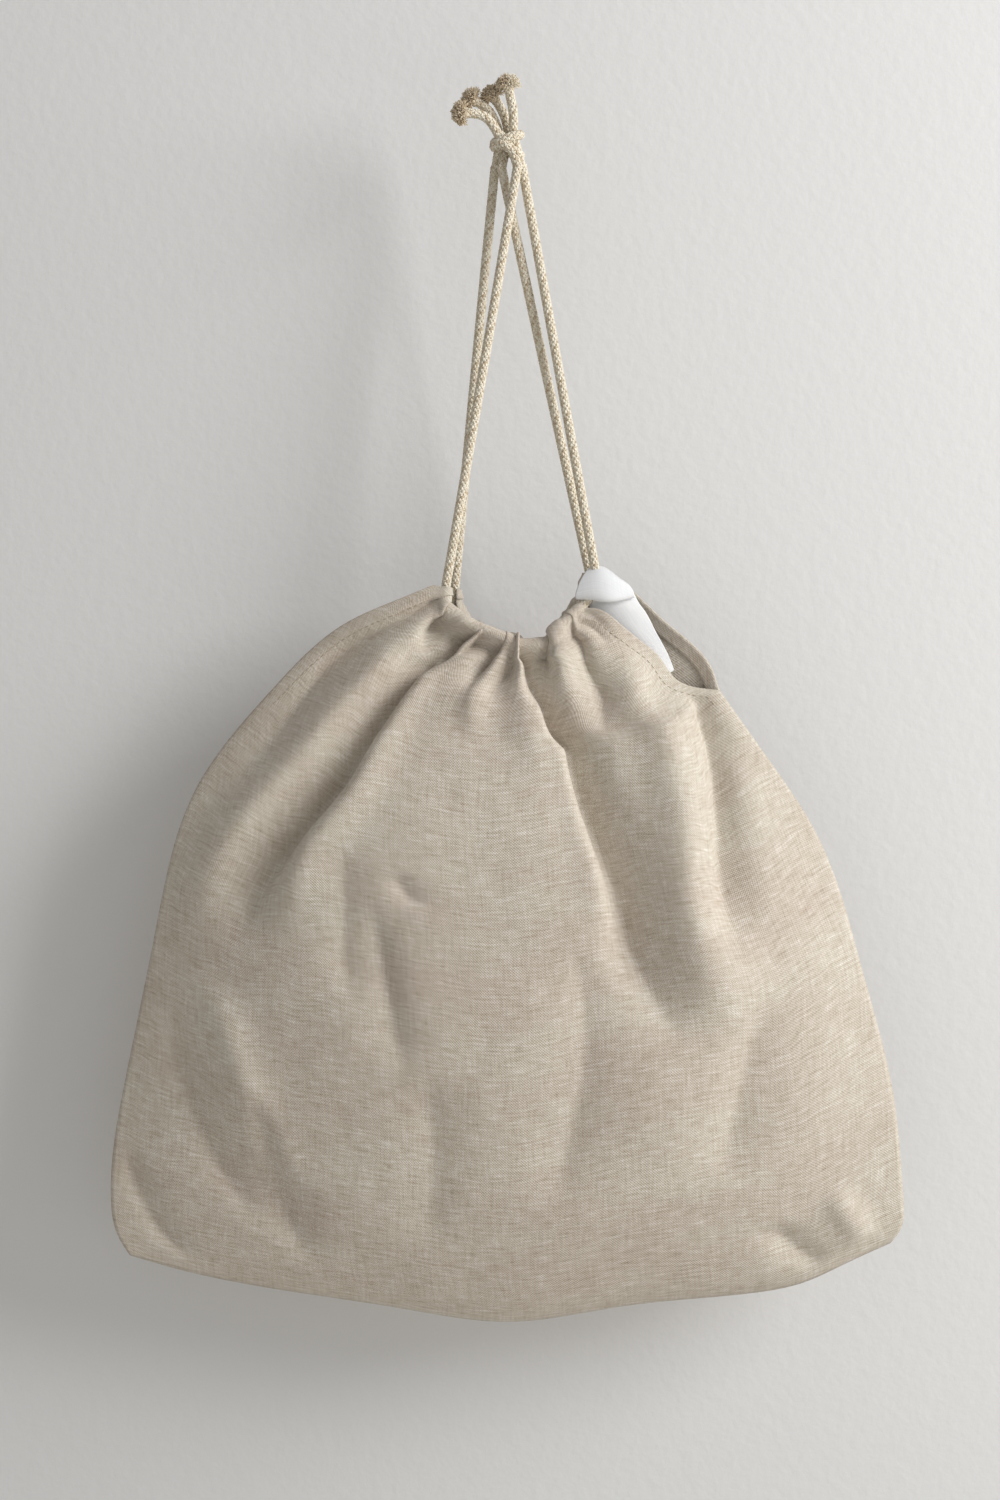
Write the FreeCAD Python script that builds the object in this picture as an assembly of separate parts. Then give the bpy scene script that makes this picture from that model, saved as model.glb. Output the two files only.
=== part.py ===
"""A linen drawstring bag, hanging from a hook by its two knotted drawcords.

Each sub-part is one STEP file in parts/.  Millimetres, +Z up, +X to the right of somebody who faces
the bag, and -Y towards them.  The origin is the hang point, where the cords straddle the hook just
under the knot.  Each panel is a sewn sheet of cloth: its outline is a set of four edges, and its
depth comes from the fullness of the bag and the folds that fan out from the gathered mouth.
"""
import FreeCAD, Part
import math
import os

from FreeCAD import Vector

# ---------------------------------------------------------------- driving dimensions, millimetres
CLOTH = 1.6                 # wall of a panel, a soft sheet with its nap and slack
SEAM_STACK = 2.0            # thickness of the seam allowances pressed between the panels
HEM_STACK = 0.9             # thickness of the turned hem along a side slit
TURNING = 7.5               # width of the cloth turned in at a seam or a hem

HALF_WIDTH = 198.0          # centre line to the widest point of a side
LEFT_CORNER = (-188.5, -545.0)
RIGHT_CORNER = (191.5, -539.0)
BOTTOM_DROP = 578.0         # hang point down to the lowest point of the bottom edge
LEFT_SLIT_FOOT = (-118.0, -263.0)
RIGHT_SLIT_FOOT = (106.0, -262.5)
FRONT_DEPTH = 40.0          # fullness of the front, from the seam plane
BACK_DEPTH = 30.0           # fullness of the back, which leans on a wall

CORD = 5.0                  # diameter of the braided drawcord
CORD_FIT = 0.3              # slack between a cord and its tunnel
RIM = 5.6                   # outer radius of a gathered cord tunnel, on the crest of a ruffle
RUFFLE = 0.8                # depth of the valleys between the ruffles
RUFFLES = 9                 # ruffles along each tunnel
RIM_CLEARANCE = 0.9         # air between a tunnel and the panel below it
MOUTH_SAG = 37.0            # how far a tunnel hangs below the line through its two ends
EXIT_SPREAD = 6.5           # seam plane to the ends of each tunnel
MOUTH_SPREAD = 13.0         # seam plane to the middle of each tunnel
LEFT_EXIT_DROP = 211.5      # hang point down to where the cords leave the left of the mouth
RIGHT_EXIT_DROP = 203.5
FRONT_EXITS = (-30.5, 44.0)  # where the front cord leaves its tunnel, left and right
BACK_EXITS = (-26.2, 41.5)

KNOT_CENTRE = 10.0          # height of the knot's middle above the hang point
KNOT_RADIUS = 10.2          # reach of the knot from its middle
KNOT_CLEARANCE = 0.3        # air between the knot and the strands that swing below it
KNOT_WRAP = 6.6             # radius of the two turns that the cords take round each other
KNOT_WRAP_TILT = 21.0       # lean of each turn, in degrees
KNOT_WRAP_RISE = 2.2        # height of a turn's middle above or below the knot's
KNOT_PRESS = 0.6            # how much fuller a turn lies than the bare cord
FRONT_STRAND_TOPS = ((5.5, -4.0), (7.5, 0.8))    # X and Y of the strands at the hang point
BACK_STRAND_TOPS = ((-6.0, 5.0), (-3.0, 0.8))
STRAND_CLEARANCE = 0.3      # air between a strand's foot and the cord inside its tunnel

STRIP_STACK = 0.7           # thickness of the cotton casing strip
STRIP_CLEARANCE = 0.6       # air between the strip's loose end and the hem it lies on
STRIP_WIDTH = 0.09          # width of the loose end, as a share of the panel's row
STRIP_LENGTH = 0.18         # its length down the panel, as a share of the panel's rows

# ------------------------------------------------------------------------- outlines, as shares
# A side edge below its slit: share of the way out from the slit's foot to the widest point, and
# share of the way up from the corner to that foot.
LEFT_SIDE = [(0.956, 0.035), (1.0, 0.11), (0.91, 0.31), (0.72, 0.575), (0.47, 0.825)]
RIGHT_SIDE = [(0.984, 0.024), (1.0, 0.085), (0.95, 0.26), (0.78, 0.49), (0.52, 0.745), (0.277, 0.87)]
# A slit edge: share of the way in from the foot to the mouth, and share of the way up.
LEFT_SLIT = [(0.45, 0.63), (0.78, 0.86)]
BACK_RIGHT_SLIT = [(0.35, 0.56), (0.58, 0.72), (0.72, 0.79)]
FRONT_RIGHT_SLIT = [(0.38, 0.24), (0.64, 0.46), (0.83, 0.70)]
# The bottom edge: share across, and share of the sag from the corners to the lowest point.
BOTTOM = [(0.07, 0.29), (0.2, 0.56), (0.36, 0.82), (0.5, 1.0), (0.645, 0.79), (0.82, 0.6), (0.885, 0.46),
          (0.94, 0.2)]
# A cord tunnel: share across from left exit to right exit, share of the sag, share of the spread.
TUNNEL = [(-0.028, 0.33, 0.08), (0.074, 0.63, 0.4), (0.302, 0.83, 0.85), (0.597, 1.0, 1.0),
          (0.879, 0.965, 0.8), (1.02, 0.715, 0.4), (1.038, 0.37, 0.08)]
# Folds: a route down the panel, as shares across and up, then the height at its top and at its foot
# (below zero for a crease) and the half width at both, in millimetres.
FRONT_FOLDS = [
    ([(0.08, 1.0), (0.138, 0.888), (0.128, 0.704), (0.06, 0.5)], (-3.0, -4.0), (6, 17)),
    ([(0.12, 1.0), (0.17, 0.846), (0.15, 0.652), (0.09, 0.42)], (3.0, 6.5), (6, 17)),
    ([(0.235, 1.0), (0.232, 0.86), (0.2, 0.62), (0.16, 0.42)], (-3.0, -6.0), (7, 17)),
    ([(0.262, 1.0), (0.272, 0.8), (0.25, 0.54)], (3.0, 5.0), (6, 13)),
    ([(0.45, 1.0), (0.555, 0.915), (0.615, 0.782), (0.632, 0.674), (0.62, 0.44)], (1.5, 5.0), (6, 13)),
    ([(0.502, 1.0), (0.59, 0.915), (0.648, 0.782), (0.664, 0.674), (0.655, 0.44)], (-5.0, -4.5), (5, 12)),
    ([(0.656, 1.0), (0.712, 0.85), (0.702, 0.66), (0.69, 0.42)], (-3.0, -6.5), (6, 17)),
    ([(0.77, 1.0), (0.81, 0.84), (0.785, 0.6), (0.75, 0.34)], (2.5, 9.0), (9, 24)),
    ([(0.965, 0.79), (0.922, 0.70), (0.878, 0.62), (0.83, 0.42)], (-4.0, -5.0), (7, 15)),
    ([(0.05, 0.345), (0.105, 0.235), (0.2, 0.1)], (-5.0, -4.5), (11, 13)),
    ([(0.10, 0.40), (0.16, 0.27), (0.245, 0.14)], (3.5, 3.0), (13, 15)),
]
BACK_FOLDS = [
    ([(0.14, 1.0), (0.15, 0.6), (0.12, 0.36)], (3.0, 5.0), (7, 19)),
    ([(0.20, 1.0), (0.22, 0.86), (0.235, 0.62)], (-3.0, -4.0), (5, 13)),
    ([(0.38, 1.0), (0.39, 0.82), (0.37, 0.42)], (-4.0, -4.5), (5, 15)),
    ([(0.46, 1.0), (0.48, 0.6), (0.47, 0.34)], (2.5, 4.5), (9, 28)),
    ([(0.55, 1.0), (0.565, 0.84), (0.575, 0.66)], (-3.0, -3.5), (5, 12)),
    ([(0.71, 1.0), (0.73, 0.62), (0.72, 0.42)], (-4.0, -4.5), (5, 16)),
    ([(0.79, 0.9), (0.81, 0.6), (0.79, 0.36)], (2.5, 4.5), (9, 24)),
]
FOLD_FADE = 0.35            # share of a fold's reach over which its foot dies away
# The frayed tails above the knot: points from the knot outwards, and the tail they belong to.
TAILS = {
    "front_left_tail": [(-4.0, -3.5, 13.5), (-7.5, -5.5, 20.5), (-14.5, -7.0, 24.5), (-23.5, -8.0, 24.0)],
    "back_left_tail": [(-3.0, 2.0, 14.0), (-6.0, 1.5, 23.0), (-11.0, 0.5, 30.0), (-18.5, -0.5, 33.0)],
    "back_right_tail": [(1.5, 3.5, 14.0), (-0.5, 4.0, 24.0), (-4.0, 3.0, 31.0), (-8.0, 1.5, 36.0)],
    "front_right_tail": [(3.0, -2.0, 14.0), (3.5, -3.0, 24.5), (1.8, -4.0, 32.0), (0.2, -5.0, 40.0)],
}

SLIT_ROW = 0.76             # share of a panel's rows that lie below the slits
TURNED_STEPS = 2            # steps over the width of a turned edge
COLUMNS = 24                # steps across a panel between its turned edges
SEWN_ROWS = 7               # steps up a panel below the slits
SLIT_ROWS = 5               # and beside them
EDGE_STATIONS = 25          # places along a tunnel that the panel's top edge is set off from
CASING_SIDES = 6            # flats round half a tunnel's casing
BORE_SIDES = 4              # and round half its bore
CORD_RADIUS = CORD / 2
SEAM_FACE = SEAM_STACK / 2 + CLOTH / 2      # seam plane to the middle of a panel's wall at its edge
FRONT, BACK = -1, 1


# ------------------------------------------------------------------------------------ helpers
def smooth(t):
    """Ease from 0 to 1."""
    t = max(0.0, min(1.0, t))
    return t * t * (3 - 2 * t)


def between(pair, share):
    """A value part of the way from the first of a pair to the second."""
    return pair[0] + (pair[1] - pair[0]) * share


def place_on(route, v):
    """Share across at which a route down a panel passes a row."""
    for (high, top), (low, foot) in zip(route, route[1:]):
        if v >= foot:
            break
    return between((low, high), (v - foot) / (top - foot))


class Edge:
    """A curve through XZ points, read by its share of length."""

    def __init__(self, points):
        curve = Part.BSplineCurve()
        curve.interpolate([Vector(x, 0, z) for x, z in points])
        self.curve = curve
        self.length = curve.length()

    def at(self, share):
        p = self.curve.value(self.curve.parameterAtDistance(self.length * share, self.curve.FirstParameter))
        return p.x, p.z


def rounded_route(points, name=None):
    """Straight runs joined by tangent arcs, each as large as its two runs allow."""
    points = [Vector(*p) for p in points]
    edges, start, radii = [], points[0], []
    for before, corner, after in zip(points, points[1:], points[2:]):
        back, on = before - corner, after - corner
        half_turn = (math.pi - back.getAngle(on)) / 2
        reach = 0.45 * min(back.Length, on.Length)
        radii.append(reach / math.tan(half_turn))
        back.normalize()
        on.normalize()
        first, last = corner + back * reach, corner + on * reach
        inward = (back + on).normalize()
        middle = corner + inward * radii[-1] * (1 / math.cos(half_turn) - 1)
        edges.append(Part.LineSegment(start, first).toShape())
        edges.append(Part.Arc(first, middle, last).toShape())
        start = last
    edges.append(Part.LineSegment(start, points[-1]).toShape())
    if name and radii:
        print(name, "bend radii:", ", ".join(f"{r:.1f}" for r in radii))
    return Part.Wire(edges)


def tube(route, radius, name):
    """A round cord along a route, with its volume compared with section times length."""
    first = route.Edges[0]
    ring = Part.Wire(Part.makeCircle(radius, first.valueAt(first.FirstParameter),
                                     first.tangentAt(first.FirstParameter)))
    solid = route.makePipeShell([ring], True, True)
    wanted = math.pi * radius ** 2 * route.Length
    print(f"{name}: length {route.Length:.1f}, volume {solid.Volume / wanted:.4f} of section x length")
    return solid


def surface_through(grid):
    surface = Part.BSplineSurface()
    surface.interpolate(grid)
    return surface


def wall(surface, thickness):
    """A sheet on a surface, with its wall laid on along Y."""
    return surface.toShape().extrude(Vector(0, thickness, 0))


def steps(first, last, count):
    return [first + (last - first) * i / count for i in range(count + 1)]


# ------------------------------------------------------------------------------- cord tunnels
class Tunnel:
    """The route of one drawcord through the gathered mouth, and the ruffled casing round it."""

    def __init__(self, side, exits):
        self.side = side
        self.left, self.right = exits
        self.route = rounded_route(self.points(), "tunnel")

    def exit_line(self, share):
        return -LEFT_EXIT_DROP + (LEFT_EXIT_DROP - RIGHT_EXIT_DROP) * share

    def points(self):
        stops = [(0.0, 0.0, 0.0)] + TUNNEL + [(1.0, 0.0, 0.0)]
        return [(self.left + (self.right - self.left) * share,
                 self.side * (EXIT_SPREAD + (MOUTH_SPREAD - EXIT_SPREAD) * lean),
                 self.exit_line(share) - MOUTH_SAG * sag) for share, sag, lean in stops]

    def stations(self, count):
        """Places along the route, each with the direction of travel there."""
        places = self.route.discretize(Number=count)
        for i, place in enumerate(places):
            ahead = places[min(i + 1, count - 1)] - places[max(i - 1, 0)]
            yield i / (count - 1), place, ahead.normalize()

    def half_ring(self, outward):
        """One half of the casing, creased at every gather: outward +1 faces away from the mouth."""
        sections = []
        count = 2 * RUFFLES + 1
        for i, (_, place, ahead) in enumerate(self.stations(count)):
            away = Vector(0, self.side * outward, 0)
            away = (away - ahead * away.dot(ahead)).normalize()
            across = ahead.cross(away)
            crest = RIM if outward > 0 and i % 2 == 0 else RIM - RUFFLE
            bore = (CORD_RADIUS + CORD_FIT) / math.cos(math.pi / 2 / BORE_SIDES)

            def ring(radius, sides):
                return [place + across * (radius * math.sin(angle)) + away * (radius * math.cos(angle))
                        for angle in steps(-math.pi / 2, math.pi / 2, sides)]
            corners = ring(crest, CASING_SIDES) + ring(bore, BORE_SIDES)[::-1]
            sections.append(Part.makePolygon(corners + corners[:1]))
        return Part.makeLoft(sections, True, True)

    def panel_edge(self):
        """The line that the panel's top edge follows, just clear of the tunnel."""
        line = []
        for _, place, ahead in self.stations(EDGE_STATIONS):
            clear = (RIM + RIM_CLEARANCE) / math.hypot(ahead.x, ahead.z)
            line.append((place.x + ahead.z * clear, place.z - ahead.x * clear))
        return Edge(line)


# -------------------------------------------------------------------------------------- panels
class Panel:
    """One sewn panel of the bag, from its four edges, its fullness and its folds."""

    def __init__(self, side, tunnel, depth, folds, right_slit):
        self.side, self.depth, self.folds = side, depth, folds
        self.top = tunnel.panel_edge()
        self.sides = [self.side_edges(LEFT_CORNER, LEFT_SLIT_FOOT, LEFT_SIDE, LEFT_SLIT, 0.0, -1),
                      self.side_edges(RIGHT_CORNER, RIGHT_SLIT_FOOT, RIGHT_SIDE, right_slit, 1.0, 1)]
        sag = BOTTOM_DROP + (LEFT_CORNER[1] + RIGHT_CORNER[1]) / 2
        width = RIGHT_CORNER[0] - LEFT_CORNER[0]
        self.bottom = Edge([LEFT_CORNER] + [
            (LEFT_CORNER[0] + width * x, (LEFT_CORNER[1] + RIGHT_CORNER[1]) / 2 - sag * z)
            for x, z in BOTTOM] + [RIGHT_CORNER])

    def side_edges(self, corner, foot, side, slit, end, sign):
        """The sewn side below the slit, and the open slit edge above it."""
        out, rise = HALF_WIDTH - abs(foot[0]), foot[1] - corner[1]
        sewn = [corner] + [(foot[0] + sign * out * x, corner[1] + rise * z) for x, z in side] + [foot]
        mouth = self.top.at(end)
        open_edge = [foot] + [(foot[0] + (mouth[0] - foot[0]) * x, foot[1] + (mouth[1] - foot[1]) * z)
                              for x, z in slit] + [mouth]
        return Edge(sewn), Edge(open_edge)

    def side_at(self, which, v):
        sewn, open_edge = self.sides[which]
        if v <= SLIT_ROW:
            return sewn.at(v / SLIT_ROW)
        return open_edge.at((v - SLIT_ROW) / (1 - SLIT_ROW))

    def row_width(self, v):
        (left, _), (right, _) = self.side_at(0, v), self.side_at(1, v)
        return right - left

    def outline(self, u, v):
        """A point of the flat outline: the four edges blended into its inside."""
        left, right = self.side_at(0, v), self.side_at(1, v)
        low, high = self.bottom.at(u), self.top.at(u)
        corners = (self.bottom.at(0), self.bottom.at(1), self.top.at(0), self.top.at(1))
        return tuple((1 - v) * low[i] + v * high[i] + (1 - u) * left[i] + u * right[i]
                     - (1 - u) * (1 - v) * corners[0][i] - u * (1 - v) * corners[1][i]
                     - (1 - u) * v * corners[2][i] - u * v * corners[3][i] for i in (0, 1))

    def fullness(self, u, v):
        """Distance of the wall's middle from the seam plane."""
        across = 1 - abs(2 * u - 1) ** 2.4
        parted = (EXIT_SPREAD - SEAM_FACE) * smooth((v - SLIT_ROW) / (1 - SLIT_ROW))
        belly = self.depth * math.sin(math.pi * v ** 0.75) + (MOUTH_SPREAD - EXIT_SPREAD) * v * v
        return SEAM_FACE + parted + belly * across + self.lift(u, v) * min(1.0, 2 * across)

    def lift(self, u, v):
        """How far the folds lift the cloth, with creases below zero."""
        total = 0.0
        for route, height, half_width in self.folds:
            top, foot = route[0][1], route[-1][1]
            down = (top - v) / (top - foot)
            if 0 <= down <= 1:
                off = (u - place_on(route, v)) * self.row_width(v) / between(half_width, down)
                start = 1.0 if top == 1.0 else smooth(down / FOLD_FADE)
                total += between(height, down) * math.exp(-off * off) * start * smooth((1 - down) / FOLD_FADE)
        return total

    def point(self, u, v, inset):
        x, z = self.outline(u, v)
        return Vector(x, self.side * (self.fullness(u, v) - inset), z)

    def columns(self, v):
        """Places across a row: two steps over each turned edge, and even steps between them."""
        turned = TURNING / self.row_width(v)
        return (steps(0.0, turned, TURNED_STEPS) + steps(turned, 1 - turned, COLUMNS)[1:-1]
                + steps(1 - turned, 1.0, TURNED_STEPS))

    def rows(self):
        """Places up the panel: two steps over the bottom seam, then up to the slits and beside them."""
        turned = TURNING / (self.top.at(0.5)[1] + BOTTOM_DROP)
        return (steps(0.0, turned, TURNED_STEPS) + steps(turned, SLIT_ROW, SEWN_ROWS)[1:]
                + steps(SLIT_ROW, 1.0, SLIT_ROWS)[1:])

    def inner_face(self):
        """The surface of the wall that faces into the bag."""
        return surface_through([[self.point(u, v, CLOTH / 2) for u in self.columns(v)]
                                for v in self.rows()])

    def solid(self):
        return wall(self.inner_face(), self.side * CLOTH)

    def turned_in(self, first_row, last_row, first_column, last_column, stack):
        """Cloth turned in and pressed against the inner face, between two rows and two columns."""
        face, rows = self.inner_face(), self.rows()

        def place(row, column):
            v = rows[row]
            return face.parameter(self.point(self.columns(v)[column], v, CLOTH / 2))
        low, high = place(first_row, first_column), place(last_row, last_column)
        face.segment(low[0], high[0], low[1], high[1])
        return wall(face, -self.side * stack)

    def side_strip(self, which, first_row, last_row, stack):
        """A turned edge along the left (0) or right (1) side."""
        columns = ((0, TURNED_STEPS), (-1 - TURNED_STEPS, -1))[which]
        return self.turned_in(first_row, last_row, *columns, stack)


def casing_strip_end(back):
    """The loose end of the white cotton casing strip, on the back panel in the open right-hand slit."""
    grid = []
    for v in steps(1 - STRIP_LENGTH, 1.0, 6):
        outer = 1 - TURNING / 4 / back.row_width(v)
        inset = CLOTH / 2 + HEM_STACK + STRIP_CLEARANCE
        grid.append([back.point(u, v, inset) for u in steps(outer - STRIP_WIDTH, outer, 3)])
    return wall(surface_through(grid), -STRIP_STACK)


# --------------------------------------------------------------------------- cords and the knot
def swing_cylinder(radius):
    """Round the axis that the bag swings about, through the middle of the knot."""
    length = 4 * KNOT_RADIUS
    return Part.makeCylinder(radius, length, Vector(0, -length / 2, KNOT_CENTRE), Vector(0, 1, 0))


def strand_ends(top, tunnel, which):
    """A taut strand, from inside the knot down to the mouth of its tunnel."""
    share = (0.0, 1.0)[which]
    foot = (tunnel.left, tunnel.right)[which]
    top = Vector(*top, 0)
    return top, Vector(foot, tunnel.side * EXIT_SPREAD, tunnel.exit_line(share))


def strand(top, tunnel, which, name):
    top, foot = strand_ends(top, tunnel, which)
    along = (top - foot).normalize()
    print(f"{name}: length {(foot - top).Length:.1f}")
    whole = Part.makeCylinder(CORD_RADIUS, (foot - top).Length + KNOT_CENTRE / 2,
                              foot + along * STRAND_CLEARANCE, along)
    return whole.cut(swing_cylinder(KNOT_RADIUS + KNOT_CLEARANCE))


def knot(tunnels):
    """An overhand knot: two leaning turns round the four cords that run through it."""
    middle = Vector(0, 0, KNOT_CENTRE)
    turns = []
    for lean in (-1, 1):
        tilt = math.radians(KNOT_WRAP_TILT) * lean
        turns.append(Part.makeTorus(KNOT_WRAP, CORD_RADIUS + KNOT_PRESS,
                                    middle + Vector(0, 0, KNOT_WRAP_RISE * lean),
                                    Vector(math.sin(tilt), 0, math.cos(tilt))))
    cores = []
    for tops, tunnel in zip((FRONT_STRAND_TOPS, BACK_STRAND_TOPS), tunnels):
        for which, hang in enumerate(tops):
            top, foot = strand_ends(hang, tunnel, which)
            along = (top - foot).normalize()
            cores.append(Part.makeCylinder(CORD_RADIUS, KNOT_CENTRE + KNOT_RADIUS / 2,
                                           top - along * CORD_RADIUS, along))
    heart = Part.makeSphere(KNOT_WRAP, middle)
    return heart.multiFuse(turns + cores).common(swing_cylinder(KNOT_RADIUS)).removeSplitter()


# --------------------------------------------------------------------------------- the whole bag
def build():
    front_tunnel, back_tunnel = Tunnel(FRONT, FRONT_EXITS), Tunnel(BACK, BACK_EXITS)
    front = Panel(FRONT, front_tunnel, FRONT_DEPTH, FRONT_FOLDS, FRONT_RIGHT_SLIT)
    back = Panel(BACK, back_tunnel, BACK_DEPTH, BACK_FOLDS, BACK_RIGHT_SLIT)
    parts = {"front_panel": front.solid(), "back_panel": back.solid()}

    slit = TURNED_STEPS + SEWN_ROWS
    top = slit + SLIT_ROWS
    for which, name in enumerate(("left", "right")):
        parts[f"{name}_side_seam"] = front.side_strip(which, 0, slit, SEAM_STACK)
        parts[f"front_{name}_slit_hem"] = front.side_strip(which, slit, top, HEM_STACK)
        parts[f"back_{name}_slit_hem"] = back.side_strip(which, slit, top, HEM_STACK)
    parts["bottom_seam"] = front.turned_in(0, TURNED_STEPS, TURNED_STEPS, -1 - TURNED_STEPS, SEAM_STACK)

    for name, tunnel in (("front", front_tunnel), ("back", back_tunnel)):
        parts[f"{name}_gathered_rim"] = tunnel.half_ring(1)
        parts[f"{name}_casing_strip"] = tunnel.half_ring(-1)
        parts[f"{name}_tunnel_cord"] = tube(tunnel.route, CORD_RADIUS, f"{name}_tunnel_cord")
    parts["casing_strip_end"] = casing_strip_end(back)

    tunnels = (front_tunnel, back_tunnel)
    parts["cord_knot"] = knot(tunnels)
    for name, tops, tunnel in (("front", FRONT_STRAND_TOPS, front_tunnel),
                               ("back", BACK_STRAND_TOPS, back_tunnel)):
        for which, hand in enumerate(("left", "right")):
            node = f"{name}_cord_{hand}_strand"
            parts[node] = strand(tops[which], tunnel, which, node)
    for name, points in TAILS.items():
        whole = tube(rounded_route(points, name), CORD_RADIUS, name)
        parts[name] = whole.cut(parts["cord_knot"])
    return parts


def main():
    os.makedirs("parts", exist_ok=True)
    for name, shape in build().items():
        solids = shape.Solids
        print(f"{name}: {len(solids)} solid, valid {shape.isValid()}, volume {shape.Volume:.0f}")
        shape.exportStep(f"parts/{name}.step")


main()
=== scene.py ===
# %% [markdown]
# # A linen drawstring bag on its two drawcords
# The bag is two panels of heathered linen, sewn together along the sides and the bottom and gathered at
# the mouth onto two braided cotton cords.  The cords leave the mouth at its two ends and meet in a knot.
# Everything here is in metres, in the frame of the solid model: +Z is up, +X is to the right of somebody
# who faces the bag, -Y points towards them, and the origin is where the cords hang from their hook.

# %% Load the solid model
import bmesh
import bpy
import math
import numpy as np
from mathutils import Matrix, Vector, noise


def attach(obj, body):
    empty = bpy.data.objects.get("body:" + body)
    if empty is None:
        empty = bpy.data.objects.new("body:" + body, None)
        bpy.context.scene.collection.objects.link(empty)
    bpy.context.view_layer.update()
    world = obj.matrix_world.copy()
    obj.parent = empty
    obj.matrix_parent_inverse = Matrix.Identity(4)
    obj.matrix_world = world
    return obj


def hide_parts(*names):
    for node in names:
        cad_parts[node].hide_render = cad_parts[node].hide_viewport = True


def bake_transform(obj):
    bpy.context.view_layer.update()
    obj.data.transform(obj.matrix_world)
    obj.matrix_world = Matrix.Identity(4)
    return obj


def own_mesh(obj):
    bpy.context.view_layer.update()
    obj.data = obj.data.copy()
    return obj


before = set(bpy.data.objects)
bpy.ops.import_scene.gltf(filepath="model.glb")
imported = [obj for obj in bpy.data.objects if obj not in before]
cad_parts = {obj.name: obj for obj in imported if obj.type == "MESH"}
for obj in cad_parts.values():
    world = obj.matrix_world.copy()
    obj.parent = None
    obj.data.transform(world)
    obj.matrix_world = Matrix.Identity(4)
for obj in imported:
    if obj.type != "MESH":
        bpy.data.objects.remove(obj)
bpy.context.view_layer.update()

# %% [markdown]
# ## The camera
# The view is level and straight on.  A long lens far away would flatten the bag, and a short one close by
# would swell its belly, so the camera stands where somebody would stand to look at a hook on a wall.

# %% Camera
VIEW_MIDDLE = Vector((-0.0035, 0.0, -0.2925))
VIEW_HEIGHT = 0.75
VIEW_DISTANCE = 1.3
camera = bpy.data.objects.new("camera", bpy.data.cameras.new("camera"))
camera.data.lens = camera.data.sensor_width * VIEW_DISTANCE / VIEW_HEIGHT
camera.location = VIEW_MIDDLE - Vector((0, VIEW_DISTANCE, 0))
camera.rotation_euler = (math.pi / 2, 0, 0)
bpy.context.scene.collection.objects.link(camera)
bpy.context.scene.camera = camera
print("lens:", round(camera.data.lens, 1), "mm")

# %% [markdown]
# ## Small helpers
# `Edge` is a smooth curve through a few given points that is read by its share of length, which is how
# a pattern cutter describes an edge.  `cloth_object` turns rows of points into a mesh whose UV map is
# measured in metres on the flat cloth, so that a weave keeps its scale wherever the cloth goes.

# %% Curves read by their share of length
MM = 0.001


def smooth(t):
    """An eased step from 0 to 1."""
    t = np.clip(t, 0, 1)
    return t * t * (3 - 2 * t)


def arc_shares(line):
    """Each point's share of the line's length, and that length."""
    along = np.r_[0, np.cumsum(np.linalg.norm(np.diff(line, axis=0), axis=1))]
    return along / along[-1], along[-1]


def natural_spline(points, count=500):
    """A natural cubic spline through the points, read at even steps."""
    p = np.array(points, float)
    d = np.r_[0, np.cumsum(np.linalg.norm(np.diff(p, axis=0), axis=1))]
    h, n = np.diff(d), len(p)
    system, wanted = np.eye(n), np.zeros_like(p)
    for i in range(1, n - 1):
        system[i, i - 1:i + 2] = h[i - 1], 2 * (h[i - 1] + h[i]), h[i]
        wanted[i] = 6 * ((p[i + 1] - p[i]) / h[i] - (p[i] - p[i - 1]) / h[i - 1])
    bend = np.linalg.solve(system, wanted)
    t = np.linspace(0, d[-1], count)
    i = np.clip(np.searchsorted(d, t, side="right") - 1, 0, n - 2)
    a, b, w = (d[i + 1] - t)[:, None], (t - d[i])[:, None], h[i][:, None]
    return (bend[i] * a ** 3 / (6 * w) + bend[i + 1] * b ** 3 / (6 * w)
            + (p[i] / w - bend[i] * w / 6) * a + (p[i + 1] / w - bend[i + 1] * w / 6) * b)


class Edge:
    """A smooth curve through a few points."""

    def __init__(self, points):
        self.line = natural_spline(points)
        self.shares, _ = arc_shares(self.line)

    def at(self, share):
        return np.stack([np.interp(share, self.shares, axis) for axis in self.line.T], -1)


# %% Meshes from rows of points
def new_object(name, mesh):
    obj = bpy.data.objects.new(name, mesh)
    bpy.context.scene.collection.objects.link(obj)
    return obj


def grid_faces(rows, columns, around=False):
    """Quads of a grid; around closes each row into a ring."""
    wide = columns if around else columns - 1
    i, j = np.meshgrid(np.arange(rows - 1), np.arange(wide), indexing="ij")
    k = (j + 1) % columns
    return np.stack([i * columns + j, i * columns + k, (i + 1) * columns + k, (i + 1) * columns + j],
                    -1).reshape(-1, 4)


def mesh_object(name, points, faces, uv, material):
    """points (n, 3), faces (m, 4) and uv either (n, 2), one for each point, or (m, 4, 2)."""
    mesh = bpy.data.meshes.new(name)
    mesh.from_pydata(np.asarray(points).reshape(-1, 3).tolist(), [], np.asarray(faces).tolist())
    layer = mesh.uv_layers.new(name="flat")
    corners = uv[faces] if uv.ndim == 2 else uv
    layer.data.foreach_set("uv", corners.reshape(-1).astype(np.float32))
    mesh.shade_smooth()
    mesh.materials.append(material)
    return new_object(name, mesh)


def cloth_object(name, grid, uv, material, thickness, flip=False):
    """A sheet from a (rows, columns, 3) grid, with a live wall thickness."""
    rows, columns = grid.shape[:2]
    faces = grid_faces(rows, columns)
    if flip:
        faces = faces[:, ::-1]
    obj = mesh_object(name, grid, faces, uv.reshape(-1, 2), material)
    wall = obj.modifiers.new("wall", "SOLIDIFY")
    wall.thickness, wall.offset, wall.use_even_offset = thickness, 0, False
    return obj


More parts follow.
